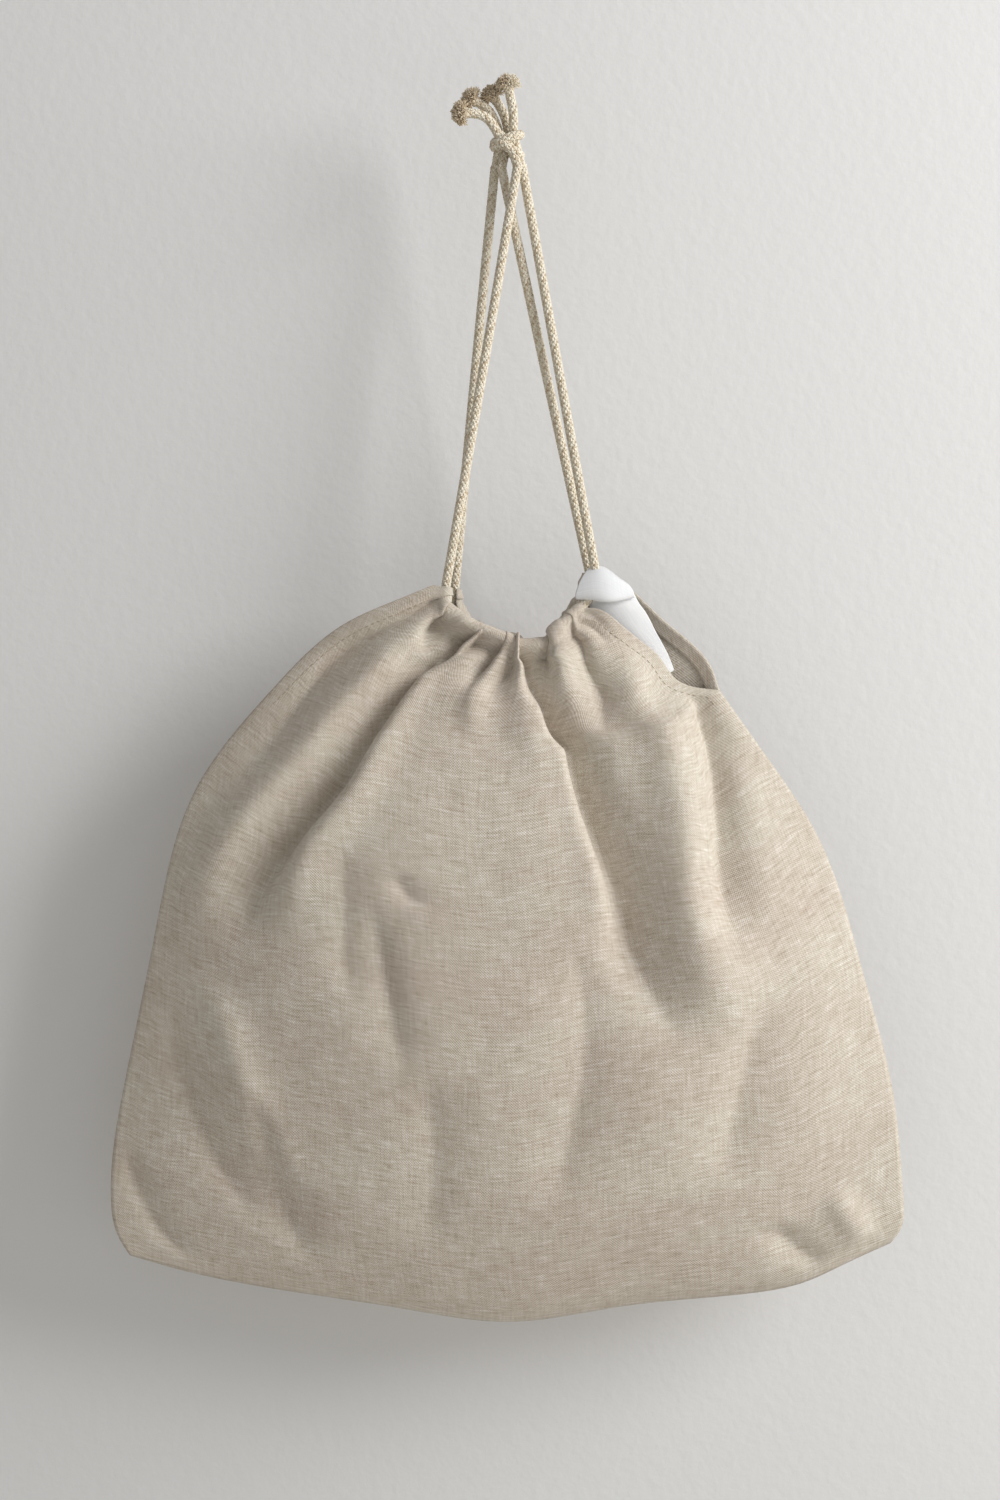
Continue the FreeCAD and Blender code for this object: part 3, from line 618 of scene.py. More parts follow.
# %% Folds of the front panel
FRONT_FOLDS = [
    # name, route as (across, up), height at top and foot, half width at top and foot, lean
    ("left band crease", [(0.083, 1.18), (0.085, 1.1), (0.13, 1.01), (0.143, 0.955), (0.13, 0.893),
     (0.113, 0.845), (0.115, 0.763), (0.113, 0.69), (0.09, 0.608), (0.052, 0.5)], (-13, -10), (3.6, 16),
     0.5),
    ("left ridge", [(0.162, 1.14), (0.162, 0.988), (0.17, 0.932), (0.185, 0.88), (0.168, 0.807),
     (0.15, 0.718), (0.132, 0.66), (0.094, 0.578), (0.066, 0.5), (0.06, 0.4)], (6, 11), (5, 14), 0.0),
    ("shaded valley", [(0.253, 0.975), (0.275, 0.895), (0.265, 0.818), (0.247, 0.74), (0.233, 0.685),
     (0.203, 0.618), (0.158, 0.532), (0.125, 0.42)], (-12, -19), (5.5, 15), -0.5),
    ("mass edge", [(0.33, 0.96), (0.31, 0.92), (0.302, 0.87), (0.295, 0.807), (0.283, 0.745),
     (0.273, 0.675), (0.242, 0.615), (0.21, 0.547), (0.188, 0.45)], (5.5, 10), (4.5, 14), -0.7),
    ("pucker a", [(0.11, 1.17), (0.2, 1.047), (0.228, 0.968), (0.245, 0.925)], (-14, -11), (2.6, 4), 0.5),
    ("pucker b", [(0.33, 1.16), (0.33, 1.093), (0.28, 1.003), (0.295, 0.943), (0.297, 0.888)], (-13, -11),
     (2.4, 4.5), -0.6),
    ("eye", [(0.398, 1.2), (0.398, 1.075), (0.378, 0.978), (0.338, 0.945), (0.31, 0.92)], (-10, -9),
     (2.4, 4), 0.4),
    ("narrow crease", [(0.432, 1.2), (0.434, 1.12), (0.44, 1.006), (0.427, 0.94), (0.427, 0.895),
     (0.432, 0.86)], (-11, -9), (2.2, 4.5), -0.6),
    ("narrow ridge", [(0.46, 1.2), (0.462, 1.13), (0.472, 0.983), (0.465, 0.912), (0.46, 0.865),
     (0.466, 0.825), (0.468, 0.76)], (4.5, 4), (3.2, 7), -0.4),
    ("hollow", [(0.487, 1.2), (0.49, 1.12), (0.51, 1.004), (0.51, 0.943), (0.494, 0.9), (0.497, 0.848)],
     (-10, -9), (2.4, 7), -0.5),
    ("middle pleat", [(0.542, 1.2), (0.546, 1.14), (0.575, 1.006), (0.585, 0.93), (0.608, 0.883),
     (0.61, 0.8), (0.588, 0.685)], (4.5, 4.5), (4.5, 16), 0.0),
    ("deep crease", [(0.61, 1.2), (0.61, 1.126), (0.635, 0.988), (0.642, 0.912), (0.658, 0.873),
     (0.674, 0.82), (0.674, 0.735), (0.68, 0.645), (0.682, 0.595), (0.68, 0.527), (0.677, 0.458)],
     (-12, -9), (3, 9), 0.6),
    ("crease lip", [(0.618, 0.902), (0.636, 0.858), (0.652, 0.805), (0.654, 0.728), (0.66, 0.66),
     (0.662, 0.578), (0.66, 0.517), (0.65, 0.44)], (2, 7), (3, 12), 0.6),
    ("side crease", [(0.718, 1.2), (0.716, 1.12), (0.693, 1.005), (0.667, 0.922)], (-11, -9), (2.2, 3),
     -0.3),
    ("bright ridge", [(0.81, 1.2), (0.81, 1.13), (0.755, 0.998), (0.73, 0.915), (0.724, 0.85),
     (0.713, 0.787)], (5, 4.5), (3.5, 9), -0.3),
    ("shade bowl", [(0.878, 1.1), (0.875, 1.048), (0.79, 0.945), (0.776, 0.87), (0.757, 0.782)], (-9, -6),
     (2.8, 8), -0.4),
    ("dark flank", [(0.675, 0.88), (0.688, 0.82), (0.69, 0.74), (0.693, 0.65), (0.695, 0.57), (0.698, 0.5),
     (0.712, 0.42), (0.735, 0.32)], (-6, -19), (4.5, 19), 0.5),
    ("right mass", [(0.895, 0.932), (0.883, 0.863), (0.857, 0.78), (0.833, 0.698), (0.812, 0.628),
     (0.785, 0.547), (0.775, 0.47), (0.785, 0.37), (0.79, 0.3)], (4, 14), (9, 22), 0.2),
    ("curl a", [(0.95, 1.2), (0.95, 1.11), (0.943, 1.0), (0.925, 0.955), (0.907, 0.927)], (-9, -7), (2, 4),
     0.5),
    ("curl b", [(0.995, 1.16), (0.995, 1.01), (0.965, 0.973), (0.953, 0.94), (0.94, 0.915)], (-8, -5),
     (2, 4), 0.5),
    ("right contour", [(0.993, 0.815), (0.95, 0.75), (0.927, 0.698), (0.9, 0.65), (0.857, 0.573),
     (0.833, 0.495), (0.82, 0.422)], (-7, -10), (5, 15), 0.6),
    ("right band", [(0.963, 0.72), (0.945, 0.657), (0.907, 0.583), (0.88, 0.497), (0.865, 0.425)],
     (1.5, 3.5), (8, 18), 0.0),
    ("small dent", [(0.362, 0.568), (0.375, 0.542), (0.4, 0.522)], (-3, -2.6), (5, 7), 0.4),
    ("upright wrinkle", [(0.273, 0.605), (0.285, 0.547), (0.288, 0.485), (0.3, 0.38)], (-2.5, -5), (7, 13),
     0.2),
    ("next wrinkle", [(0.325, 0.53), (0.345, 0.417), (0.37, 0.3)], (-4, -5), (6, 11), -0.3),
    ("middle wrinkle", [(0.6, 0.5), (0.61, 0.4), (0.59, 0.28), (0.545, 0.13)], (-4, -7), (12, 26), 0.0),
    ("low centre wrinkle", [(0.4, 0.33), (0.41, 0.2), (0.4, 0.08)], (-4, -4), (12, 16), 0.2),
    ("lower right wrinkle", [(0.86, 0.4), (0.8, 0.27), (0.76, 0.14)], (-5, -5), (14, 18), 0.2),
    ("left valley", [(0.05, 0.345), (0.105, 0.235), (0.2, 0.08)], (-7, -8), (10, 13), 0.3),
    ("left swell", [(0.1, 0.4), (0.16, 0.27), (0.245, 0.12)], (5, 5), (12, 14), 0.0),
    ("second valley", [(0.172, 0.27), (0.215, 0.15), (0.255, 0.04)], (-6, -7), (8, 12), -0.3),
    ("corner fold", [(0.02, 0.15), (0.06, 0.07), (0.1, 0.015)], (-6, -4), (7, 9), 0.3),
    ("right dent", [(0.82, 0.1), (0.86, 0.05), (0.9, 0.015)], (-6, -5), (9, 9), -0.3),
    ("right bump", [(0.9, 0.12), (0.93, 0.06), (0.95, 0.02)], (4.5, 3), (8, 8), 0.0),
]
print(len(FRONT_FOLDS), "front folds")

# %% Folds of the back panel
BACK_FOLDS = [
    ("left crease", [(0.07, 1.15), (0.08, 0.98), (0.1, 0.8), (0.08, 0.55)], (-7, -3), (4, 15), 0.4),
    ("left ridge", [(0.13, 1.1), (0.145, 1.0), (0.15, 0.6), (0.12, 0.36)], (3.0, 5.0), (7, 19), 0.0),
    ("pleat crease a", [(0.19, 1.2), (0.2, 1.0), (0.22, 0.86), (0.235, 0.62)], (-8, -4), (2.4, 13), -0.5),
    ("pleat crease b", [(0.29, 1.2), (0.3, 1.0), (0.31, 0.93), (0.32, 0.86)], (-7, -3), (2.2, 7), 0.3),
    ("pleat crease c", [(0.37, 1.2), (0.38, 1.0), (0.39, 0.82), (0.385, 0.58), (0.37, 0.42)], (-9, -4.5),
     (2.6, 15), 0.6),
    ("middle ridge", [(0.44, 1.1), (0.46, 1.0), (0.48, 0.6), (0.47, 0.34)], (2.5, 4.5), (6, 28), 0.0),
    ("pleat crease d", [(0.475, 1.2), (0.475, 1.0), (0.48, 0.9)], (-6, -2.5), (2.2, 6), 0.0),
    ("pleat crease e", [(0.545, 1.2), (0.55, 1.0), (0.565, 0.84), (0.575, 0.66)], (-8, -3.5), (2.4, 12),
     -0.5),
    ("pleat crease f", [(0.63, 1.2), (0.63, 1.0), (0.64, 0.92)], (-6, -2.5), (2.2, 6), 0.3),
    ("pleat crease g", [(0.71, 1.2), (0.71, 1.0), (0.73, 0.62), (0.72, 0.42)], (-9, -4.5), (2.6, 16), -0.6),
    ("right ridge", [(0.79, 0.98), (0.81, 0.6), (0.79, 0.36)], (2.5, 4.5), (7, 24), 0.0),
    ("pleat crease h", [(0.8, 1.2), (0.8, 1.0), (0.81, 0.9)], (-6, -2.5), (2.2, 7), 0.4),
    ("right crease", [(0.89, 1.15), (0.89, 0.98), (0.885, 0.8), (0.9, 0.58)], (-6, -3), (3.2, 14), 0.4),
    ("low wrinkle", [(0.25, 0.4), (0.3, 0.25), (0.38, 0.12)], (-3.5, -3.0), (12, 14), 0.3),
    ("low right wrinkle", [(0.86, 0.36), (0.78, 0.22), (0.7, 0.12)], (-3.5, -3.0), (12, 14), -0.3),
]
FOLDS = {"front": FRONT_FOLDS, "back": BACK_FOLDS}
print(len(BACK_FOLDS), "back folds")


# %% Height and lean of the folds over a grid
CREASE_POINT, RIDGE_ROUND = 1.3, 2.0         # the higher, the rounder a fold's top
FOOT_FADE = 0.3              # share of its length over which a fold runs out at its foot
TOP_FADE = 0.08              # share of the panel's height over which it starts, at the most


def fold_shapes(folds, u, v, width):
    """Height of the folds at each place, and how far they fall over; width is each row's, in metres."""
    total, shift = np.zeros_like(u), np.zeros_like(u)
    rows = v[:, 0]
    for _, route, height, half, lean in folds:
        route = np.array(route)[::-1]
        place = natural_spline(route, 80)
        order = np.argsort(place[:, 1])
        middle = np.interp(rows, place[order, 1], place[order, 0])[:, None]
        low, high = route[0, 1], route[-1, 1]
        down = np.clip((high - v) / (high - low), 0, 1)
        amount = height[0] + (height[1] - height[0]) * down
        spread = (half[0] + (half[1] - half[0]) * down) * MM
        off = np.abs(u - middle) * width / spread
        power = RIDGE_ROUND if height[0] > 0 else CREASE_POINT
        fade = FOOT_FADE * (high - low)
        top_fade = smooth((high - v) / min(fade, TOP_FADE)) if high < 1.0 else 1.0
        shape = amount * MM * np.exp(-off ** power) * smooth((v - low) / fade) * top_fade
        total += shape
        shift += lean * shape
    return total, shift


# %% [markdown]
# ### The solver
# Cloth bends easily and hardly stretches.  The solver holds every pair of neighbouring points at its rest
# length, again and again, a little at a time.  The rest lengths are those of the given surface, evened
# out along the cloth and made a touch longer, and that touch of slack has to buckle somewhere.  A weak
# pull towards the given surface keeps the folds where they belong.  Close to the rim nothing is evened
# out, or the gathers would be smoothed away.

# %% Even lengths
def evened(lengths, axis, reach):
    """Lengths averaged with their neighbours along one axis."""
    padded = np.concatenate([np.repeat(lengths.take([0], axis), reach, axis), lengths,
                             np.repeat(lengths.take([-1], axis), reach, axis)], axis)
    total = np.cumsum(padded, axis)
    total = np.concatenate([np.zeros_like(total.take([0], axis)), total], axis)
    size = lengths.shape[axis]
    window = 2 * reach + 1
    first = total.take(np.arange(size), axis)
    last = total.take(np.arange(size) + window, axis)
    return (last - first) / window


# %% Cloth solver
SLACK = 1.012                # how much longer than the given surface the evened cloth is
HOLD = 0.06                  # pull towards that surface, as a share of the distance, each round
PUSH = 1.6                   # share of the mean correction made in a round
# Rows down, columns along and stiffness: threads, then diagonals, then bending over three cells.
LINKS = [(0, 1, 1.0), (1, 0, 1.0), (1, 1, 0.3), (1, -1, 0.3), (0, 3, 0.12), (3, 0, 0.12)]


def relax(shape, pinned, evening, rounds):
    """Solve a (rows, columns, 3) sheet.

    pinned is 1 where a point may not move, and evening is the share by which lengths are evened out.
    """
    p, free = shape.copy(), (1 - pinned)[..., None]
    rows, columns = shape.shape[:2]
    families = []
    for down, along, stiffness in LINKS:
        a = (slice(0, rows - down), slice(max(0, -along), columns - max(0, along)))
        b = (slice(down, rows), slice(max(0, along), columns + min(0, along)))
        rest = np.linalg.norm(shape[b] - shape[a], axis=2)
        if down + abs(along) == 1:
            rest += evening[a] * (SLACK * evened(evened(rest, 1, 4), 0, 2) - rest)
        families.append((a, b, rest, stiffness))
    for _ in range(rounds):
        push = np.zeros_like(p)
        weight = np.zeros(p.shape[:2])
        for a, b, rest, stiffness in families:
            span = p[b] - p[a]
            long = np.linalg.norm(span, axis=2)
            move = span * (stiffness * 0.5 * (long - rest) / np.maximum(long, 1e-9))[..., None]
            push[a] += move
            push[b] -= move
            weight[a] += stiffness
            weight[b] += stiffness
        p += free * (PUSH * push / weight[..., None] + HOLD * (shape - p))
    return p


# %% [markdown]
# ### The gathered rim
# Over the drawcord the cloth leaves the panel, rolls round the cord and ends inside the mouth.  Those last
# rows follow the cord's line: each row is an angle round it.  The creases of the gathers run on over the
# roll, where they are shallower, because the cord fills it from inside.

# %% Round the cord
def tunnel_frames(side, shares):
    """The cord's middle, the way into the mouth and the way out of the bag at shares of its length."""
    line = TUNNELS[side]
    ahead, _, _ = frames_along(line)
    at, _ = arc_shares(line)
    middle, ahead = (np.stack([np.interp(shares, at, axis) for axis in a.T], -1) for a in (line, ahead))
    away = np.zeros_like(ahead)
    away[:, 1] = OUTWARD[side]
    away -= ahead * np.sum(away * ahead, 1)[:, None]
    away /= np.linalg.norm(away, axis=1)[:, None]
    mouthward = np.cross(away, ahead) * -OUTWARD[side]
    return middle, mouthward, away


for side in EXITS:
    print(side, "cord at its lowest, mm:", round(float(TUNNELS[side][:, 2].min()) / MM, 1))


# %% Belly and crumple
DEPTHS = {"front": 0.040, "back": 0.030}
BELLY_FLAT, BELLY_LOW = 2.4, 0.75    # how flat the belly is across, and how low its deepest place lies
EXIT_SPREAD = 0.0065
SEAM_GAP = 0.0004
CRUMPLE_SIZE = 0.00045
CRUMPLE_SEEDS = {"front": 3.7, "back": 9.1}


def belly(side, u, v):
    """Distance from the seam plane without folds."""
    across = 1 - np.abs(2 * u - 1) ** BELLY_FLAT
    parted = (EXIT_SPREAD - SEAM_GAP) * smooth((v - SLIT_ROW) / (1 - SLIT_ROW))
    full = DEPTHS[side] * np.sin(np.pi * np.clip(v, 0, 1) ** BELLY_LOW) + MOUTH_LEAN * v * v
    return SEAM_GAP + parted + full * across


def crumple(x, z, side):
    """The faint unevenness of washed linen: broad dents with smaller ones on them."""
    seed = CRUMPLE_SEEDS[side]
    flat = [noise.noise(Vector((a * 38, b * 30, seed))) + 0.45 * noise.noise(Vector((a * 95, b * 80, seed)))
            for a, b in zip(x.ravel(), z.ravel())]
    return CRUMPLE_SIZE * np.array(flat).reshape(x.shape)


print("belly, mm:", {side: round(float(belly(side, 0.5, 0.4)) / MM, 1) for side in EXITS})

# %% Sizes of a panel's grid
PANEL_ROWS, PANEL_COLUMNS, ROLL_ROWS = 145, 185, 15
ROLL_SHARE = 0.2             # how far the roll goes on up, as a share of the panel's height
FREE_ROLL = 2                # rows of the roll that the solver may move
ROLL_FIRST, ROLL_LAST = math.radians(-25), math.radians(165)
ROLL_RADIUS = 0.0056
ROLL_TAPER, TAPER_LENGTH = 0.0021, 0.007      # how much narrower the roll's ends are, over what length
ROLL_DIP, DIP_SOFT = 0.0028, 0.003            # the deepest gather, and the crease that makes most of it
RIDGE_RISE = 0.3             # share of a ridge's height that shows on the roll
DIP_FADE = 0.35              # how much shallower a gather is on top of the roll
EDGE_CALM = 0.012            # folds start this far in from the edges
PANEL_HEIGHT = 0.33
OPEN_CALM = 0.35             # share of a fold that is left at a slit's edge
SEWN_END, SEWN_BAND = SLIT_ROW + 0.05, 0.1    # where the calm of the seams ends, over what share
RIM_START, RIM_BAND = 0.84, 0.16              # where the belly passes into the rim
CRUMPLE_START = 0.05         # crumples start over this share of the height
EVENING, EVENING_END, EVENING_BAND = 0.3, 0.9, 0.15      # how much is evened out, up to where, how gently
LINEN_THICKNESS = 0.0006
ROUNDS = 160
print("points of a panel:", (PANEL_ROWS + ROLL_ROWS) * PANEL_COLUMNS)


# %% The given surface
def calmed(u, v, width):
    """Shares of the folds' height and of their lean that are left near the edges."""
    near_edge = smooth(np.minimum(u, 1 - u) * width / EDGE_CALM)
    sewn = smooth((SEWN_END - v) / SEWN_BAND)
    calm = (near_edge * sewn + (OPEN_CALM + (1 - OPEN_CALM) * near_edge) * (1 - sewn))
    calm = calm * smooth(v * PANEL_HEIGHT / EDGE_CALM)
    return near_edge, calm


def hand_set_panel(side, u, v, flat, near_edge, folds, shift, rim):
    """The rows below the rim: the outline's surface with its belly, its folds and its crumples."""
    to_rim = smooth((v - RIM_START) / RIM_BAND)
    depth = belly(side, u, v) * (1 - to_rim) + rim * to_rim + folds
    crumpled = crumple(*flat.transpose(2, 0, 1), side) * near_edge
    depth += crumpled * smooth(v / CRUMPLE_START) * (1 - to_rim)
    row_way = np.gradient(flat, axis=1)
    row_way /= np.linalg.norm(row_way, axis=2)[..., None]
    x, z = (flat + shift[..., None] * row_way).transpose(2, 0, 1)
    return np.stack([x, OUTWARD[side] * np.maximum(depth, SEAM_GAP), z], -1)


def hand_set_roll(middle, mouthward, away, radius, folds, shift):
    """The rows that go round the cord, each at its own angle."""
    angle = np.linspace(ROLL_FIRST, ROLL_LAST, ROLL_ROWS)[:, None, None]
    creases, ridges = np.minimum(folds, 0), np.maximum(folds, 0)
    dip = ROLL_DIP * (1 - np.exp(creases / DIP_SOFT)) - RIDGE_RISE * ridges
    dip *= 1 - DIP_FADE * np.sin(angle[..., 0])
    along = np.gradient(middle, axis=0)
    along /= np.linalg.norm(along, axis=1)[:, None]
    round_cord = (radius - dip)[..., None] * (away * np.cos(angle) + mouthward * np.sin(angle))
    return middle + round_cord + shift[..., None] * along


# %% Build a panel
def make_panel(side):
    """The solved grid of a panel with its roll, and the place of each point on the flat cloth."""
    rows = np.r_[np.linspace(0, 1, PANEL_ROWS), 1 + ROLL_SHARE * np.linspace(0, 1, ROLL_ROWS + 1)[1:]]
    u, v = np.meshgrid(np.linspace(0, 1, PANEL_COLUMNS), rows)
    panel, roll = slice(0, PANEL_ROWS), slice(PANEL_ROWS, None)
    flat = OUTLINES[side].at(u[panel], v[panel])
    width = np.linalg.norm(np.diff(flat, axis=1), axis=2).sum(1)
    width = np.r_[width, np.full(ROLL_ROWS, width[-1])][:, None]
    near_edge, calm = calmed(u, v, width)
    folds, shift = fold_shapes(FOLDS[side], u, v, width)
    folds, shift = folds * calm, shift * calm * near_edge

    middle, mouthward, away = tunnel_frames(side, u[0] * TOP_ENDS[side])
    to_end = np.minimum(u[0], 1 - u[0]) * width[-1]
    radius = ROLL_RADIUS - ROLL_TAPER * (1 - smooth(to_end / TAPER_LENGTH))
    rim = (np.abs(middle[:, 1]) + radius)[None]
    grid = np.concatenate([
        hand_set_panel(side, u[panel], v[panel], flat, near_edge[panel], folds[panel], shift[panel], rim),
        hand_set_roll(middle, mouthward, away, radius, folds[roll], shift[roll])])

    pinned = np.zeros(u.shape)
    pinned[0] = pinned[:, 0] = pinned[:, -1] = 1
    pinned[PANEL_ROWS + FREE_ROLL:] = 1
    evening = EVENING * smooth((EVENING_END - v) / EVENING_BAND)
    solved = relax(grid, pinned, evening, ROUNDS)
    inside = OUTWARD[side] * solved[..., 1] < SEAM_GAP
    solved[inside, 1] = OUTWARD[side] * SEAM_GAP
    uv = flat_lengths(solved)
    across = np.linalg.norm(np.diff(solved, axis=1), axis=2).sum(1)
    up = np.linalg.norm(np.diff(solved, axis=0), axis=2).sum(0)
    print(side, "panel:", u.shape, "cloth across, mm:", np.round(across[::12] / MM).tolist(),
          "up, mm:", np.round(up[::23] / MM).tolist())
    return solved, uv


# %% Both panels
PANEL_GRIDS = {side: make_panel(side) for side in EXITS}
panels = {}
for side, (grid, uv) in PANEL_GRIDS.items():
    panels[side] = cloth_object(f"{side}_linen_panel", grid, uv, LINEN, LINEN_THICKNESS, flip=side == "back")


# %% [markdown]
# ### Turned edges
# Along a slit the cloth is turned in once and stitched, and inside the seams the raw edges lie flat
# against the panel.  Both are strips of the same cloth, so they are cut from the panel's own grid and
# moved inwards by a thickness.

# %% Strips of a panel's edge
TURNING = 0.0075             # width of a turned edge
HEM_OFFSET = 0.0007          # from the middle of the panel's cloth to the middle of the turned one
SLIT_FIRST = int(round(SLIT_ROW * (PANEL_ROWS - 1))) - 1


def grid_normals(grid):
    """They point out of the front panel and into the back one, so OUTWARD times them leads inwards."""
    normal = np.cross(np.gradient(grid, axis=1), np.gradient(grid, axis=0))
    return normal / np.maximum(np.linalg.norm(normal, axis=2), 1e-12)[..., None]


def edge_strip(side, which, first, last, width, offset, steps=6):
    """Cloth turned in along the left (0) or right (1) edge, between two rows."""
    grid, uv = PANEL_GRIDS[side]
    moved = grid + grid_normals(grid) * offset
    order = slice(None) if which == 0 else slice(None, None, -1)
    at = np.linspace(0, width, steps)
    strip, flat = [], []
    for i in range(first, last):
        along = np.r_[0, np.cumsum(np.linalg.norm(np.diff(grid[i, order], axis=0), axis=1))]
        for rows, source in ((strip, moved), (flat, uv)):
            rows.append(np.stack([np.interp(at, along, axis) for axis in source[i, order].T], -1))
    return np.array(strip), np.array(flat)


# %% Hems and seam allowances
turned = {}
for side in EXITS:
    for which, hand in enumerate(("left", "right")):
        strip, uv = edge_strip(side, which, SLIT_FIRST, PANEL_ROWS, TURNING, OUTWARD[side] * HEM_OFFSET)
        name = f"{side}_{hand}_hem"
        turned[name] = cloth_object(name, strip, uv[..., ::-1], LINEN, LINEN_THICKNESS)
SEAM_FIRST = 3               # the side seams start this many rows up
for which, hand in enumerate(("left", "right")):
    strip, uv = edge_strip("front", which, SEAM_FIRST, SLIT_FIRST, TURNING, OUTWARD["front"] * HEM_OFFSET)
    name = f"{hand}_seam_allowance"
    turned[name] = cloth_object(name, strip, uv, LINEN, LINEN_THICKNESS)
grid, uv = PANEL_GRIDS["front"]
bottom = slice(0, 5), slice(5, -5)
turned["bottom_seam_allowance"] = cloth_object(
    "bottom_seam_allowance", (grid + OUTWARD["front"] * grid_normals(grid) * HEM_OFFSET)[bottom],
    uv[bottom], LINEN, LINEN_THICKNESS)
print("turned edges:", ", ".join(turned))

# %% [markdown]
# ## White cotton
# The tunnels are lined with a strip of white cotton, which slides on the cord better than linen does.  Its
# loose end comes out at the right-hand slit, rolls over the place where the cords leave, and hangs down
# inside the slit.  The loose end is a surface through a small net of listed places.

# %% Casing strips
COTTON_THICKNESS = 0.0005
LINING_RADIUS = 0.0038
LINING_ENDS = {"front": (0.08, 0.80), "back": (0.08, 0.92)}      # shares of the tunnel's length
LINING_ANGLES = (125, 235)   # degrees round the cord, from straight out of the bag over the mouth
LINING_RUFFLES, RUFFLE_HEIGHT = 17, 0.0004
LINING_COLUMNS, LINING_ROWS = 111, 9


def lining(side):
    """The cotton inside a tunnel, with small uneven ruffles."""
    shares = np.linspace(*LINING_ENDS[side], LINING_COLUMNS)
    middle, mouthward, away = tunnel_frames(side, shares)
    angles = np.radians(np.linspace(*LINING_ANGLES, LINING_ROWS))[:, None, None]
    waves = np.sin(2 * np.pi * LINING_RUFFLES * shares + 1.2 * np.sin(9 * shares))[None, :, None]
    gather = LINING_RADIUS + RUFFLE_HEIGHT * waves
    grid = middle + gather * (away * np.cos(angles) + mouthward * np.sin(angles))
    return cloth_object(f"{side}_casing_lining", grid, flat_lengths(grid), COTTON, COTTON_THICKNESS,
                        flip=side == "front")


linings = {side: lining(side) for side in EXITS}
print("linings:", {side: len(obj.data.polygons) for side, obj in linings.items()})

# %% The loose end
# Each row is three places across the strip, in millimetres, from inside the mouth to the strip's tip.
LOOSE_END = np.array([
    [(41.0, 8.0, -214.0), (49.0, 9.0, -213.0), (57.0, 7.0, -213.0)],
    [(41.0, 7.0, -206.0), (48.0, 8.0, -205.0), (56.0, 6.0, -208.0)],
    [(41.5, 0.0, -201.5), (46.5, 0.0, -200.8), (54.0, 0.0, -205.0)],
    [(38.5, -9.0, -205.0), (46.0, -10.5, -204.5), (57.0, -7.5, -208.0)],
    [(35.0, -12.0, -211.5), (47.0, -13.5, -211.0), (62.0, -8.5, -212.5)],
    [(34.0, -11.5, -217.5), (48.0, -12.5, -219.0), (63.5, -7.0, -216.5)],
    [(36.0, -9.0, -217.0), (49.0, -9.5, -217.5), (63.3, -5.2, -216.2)],
    [(38.0, -8.0, -214.0), (50.0, -8.0, -214.0), (63.0, -4.0, -214.5)],
    [(40.0, -6.5, -219.0), (51.0, -7.0, -219.0), (65.0, -3.5, -218.0)],
    [(46.0, -5.0, -226.0), (56.0, -5.5, -224.5), (68.3, -2.8, -222.6)],
    [(55.0, -3.5, -236.0), (64.0, -3.8, -234.0), (74.0, -1.8, -233.0)],
    [(66.0, -2.0, -247.0), (73.0, -2.5, -243.5), (80.0, -1.0, -244.0)],
    [(77.0, -0.8, -256.0), (80.5, -1.0, -254.5), (83.5, 0.0, -252.5)]]) * MM


def net_surface(net, rows, columns):
    """A fine grid through a net of places: splines down the net, then splines across them."""
    down = np.stack([natural_spline(net[:, k], rows) for k in range(net.shape[1])], 1)
    return np.stack([natural_spline(row, columns) for row in down])


grid = net_surface(LOOSE_END, 120, 40)
loose_end = cloth_object("cotton_loose_end", grid, flat_lengths(grid), COTTON, COTTON_THICKNESS)
along = np.linalg.norm(np.diff(grid, axis=0), axis=2).sum(0).mean()
across = np.linalg.norm(np.diff(grid, axis=1), axis=2).sum(1)
print("loose end, mm:", round(along / MM, 1), "long,", round(across.min() / MM), "to",
      round(across.max() / MM), "wide")


# %% [markdown]
# ## Stitches
# A machine stitch is one short slanted bead of thread after another.  A small Geometry Nodes tree puts a
# bead at every step of a line, and the same tree sews every row.

# %% Helpers for geometry trees
def geometry_tree(name, inputs):
    """An empty tree with named inputs, its node helper, and the sockets inside it."""
    tree = bpy.data.node_groups.new(name, "GeometryNodeTree")
    tree.interface.new_socket("Geometry", in_out="INPUT", socket_type="NodeSocketGeometry")
    tree.interface.new_socket("Geometry", in_out="OUTPUT", socket_type="NodeSocketGeometry")
    for label, kind, value in inputs:
        tree.interface.new_socket(label, in_out="INPUT", socket_type=kind).default_value = value
    nodes = Nodes(tree)
    return tree, nodes, nodes.add("NodeGroupInput").outputs, nodes.add("NodeGroupOutput").inputs


def finish_tree(n, out, instances, material):
    """Every tree ends in real, smooth geometry with its material."""
    real = n.make("GeometryNodeRealizeInstances", Geometry=instances)
    round_shade = n.make("GeometryNodeSetShadeSmooth", Geometry=real)
    n.put(out["Geometry"], n.make("GeometryNodeSetMaterial", Geometry=round_shade, Material=material))


def run_tree(name, tree, mesh, inputs=None):
    """The plain mesh that a tree makes from a mesh."""
    holder = new_object(name + "_source", mesh)
    modifier = holder.modifiers.new("nodes", "NODES")
    modifier.node_group = tree
    for item in tree.interface.items_tree:
        if item.in_out == "INPUT" and item.name in (inputs or {}):
            modifier[item.identifier] = inputs[item.name]
    bpy.context.view_layer.update()
    made = bpy.data.meshes.new_from_object(holder.evaluated_get(bpy.context.evaluated_depsgraph_get()))
    bpy.data.objects.remove(holder)
    made.name = name
    return new_object(name, made)


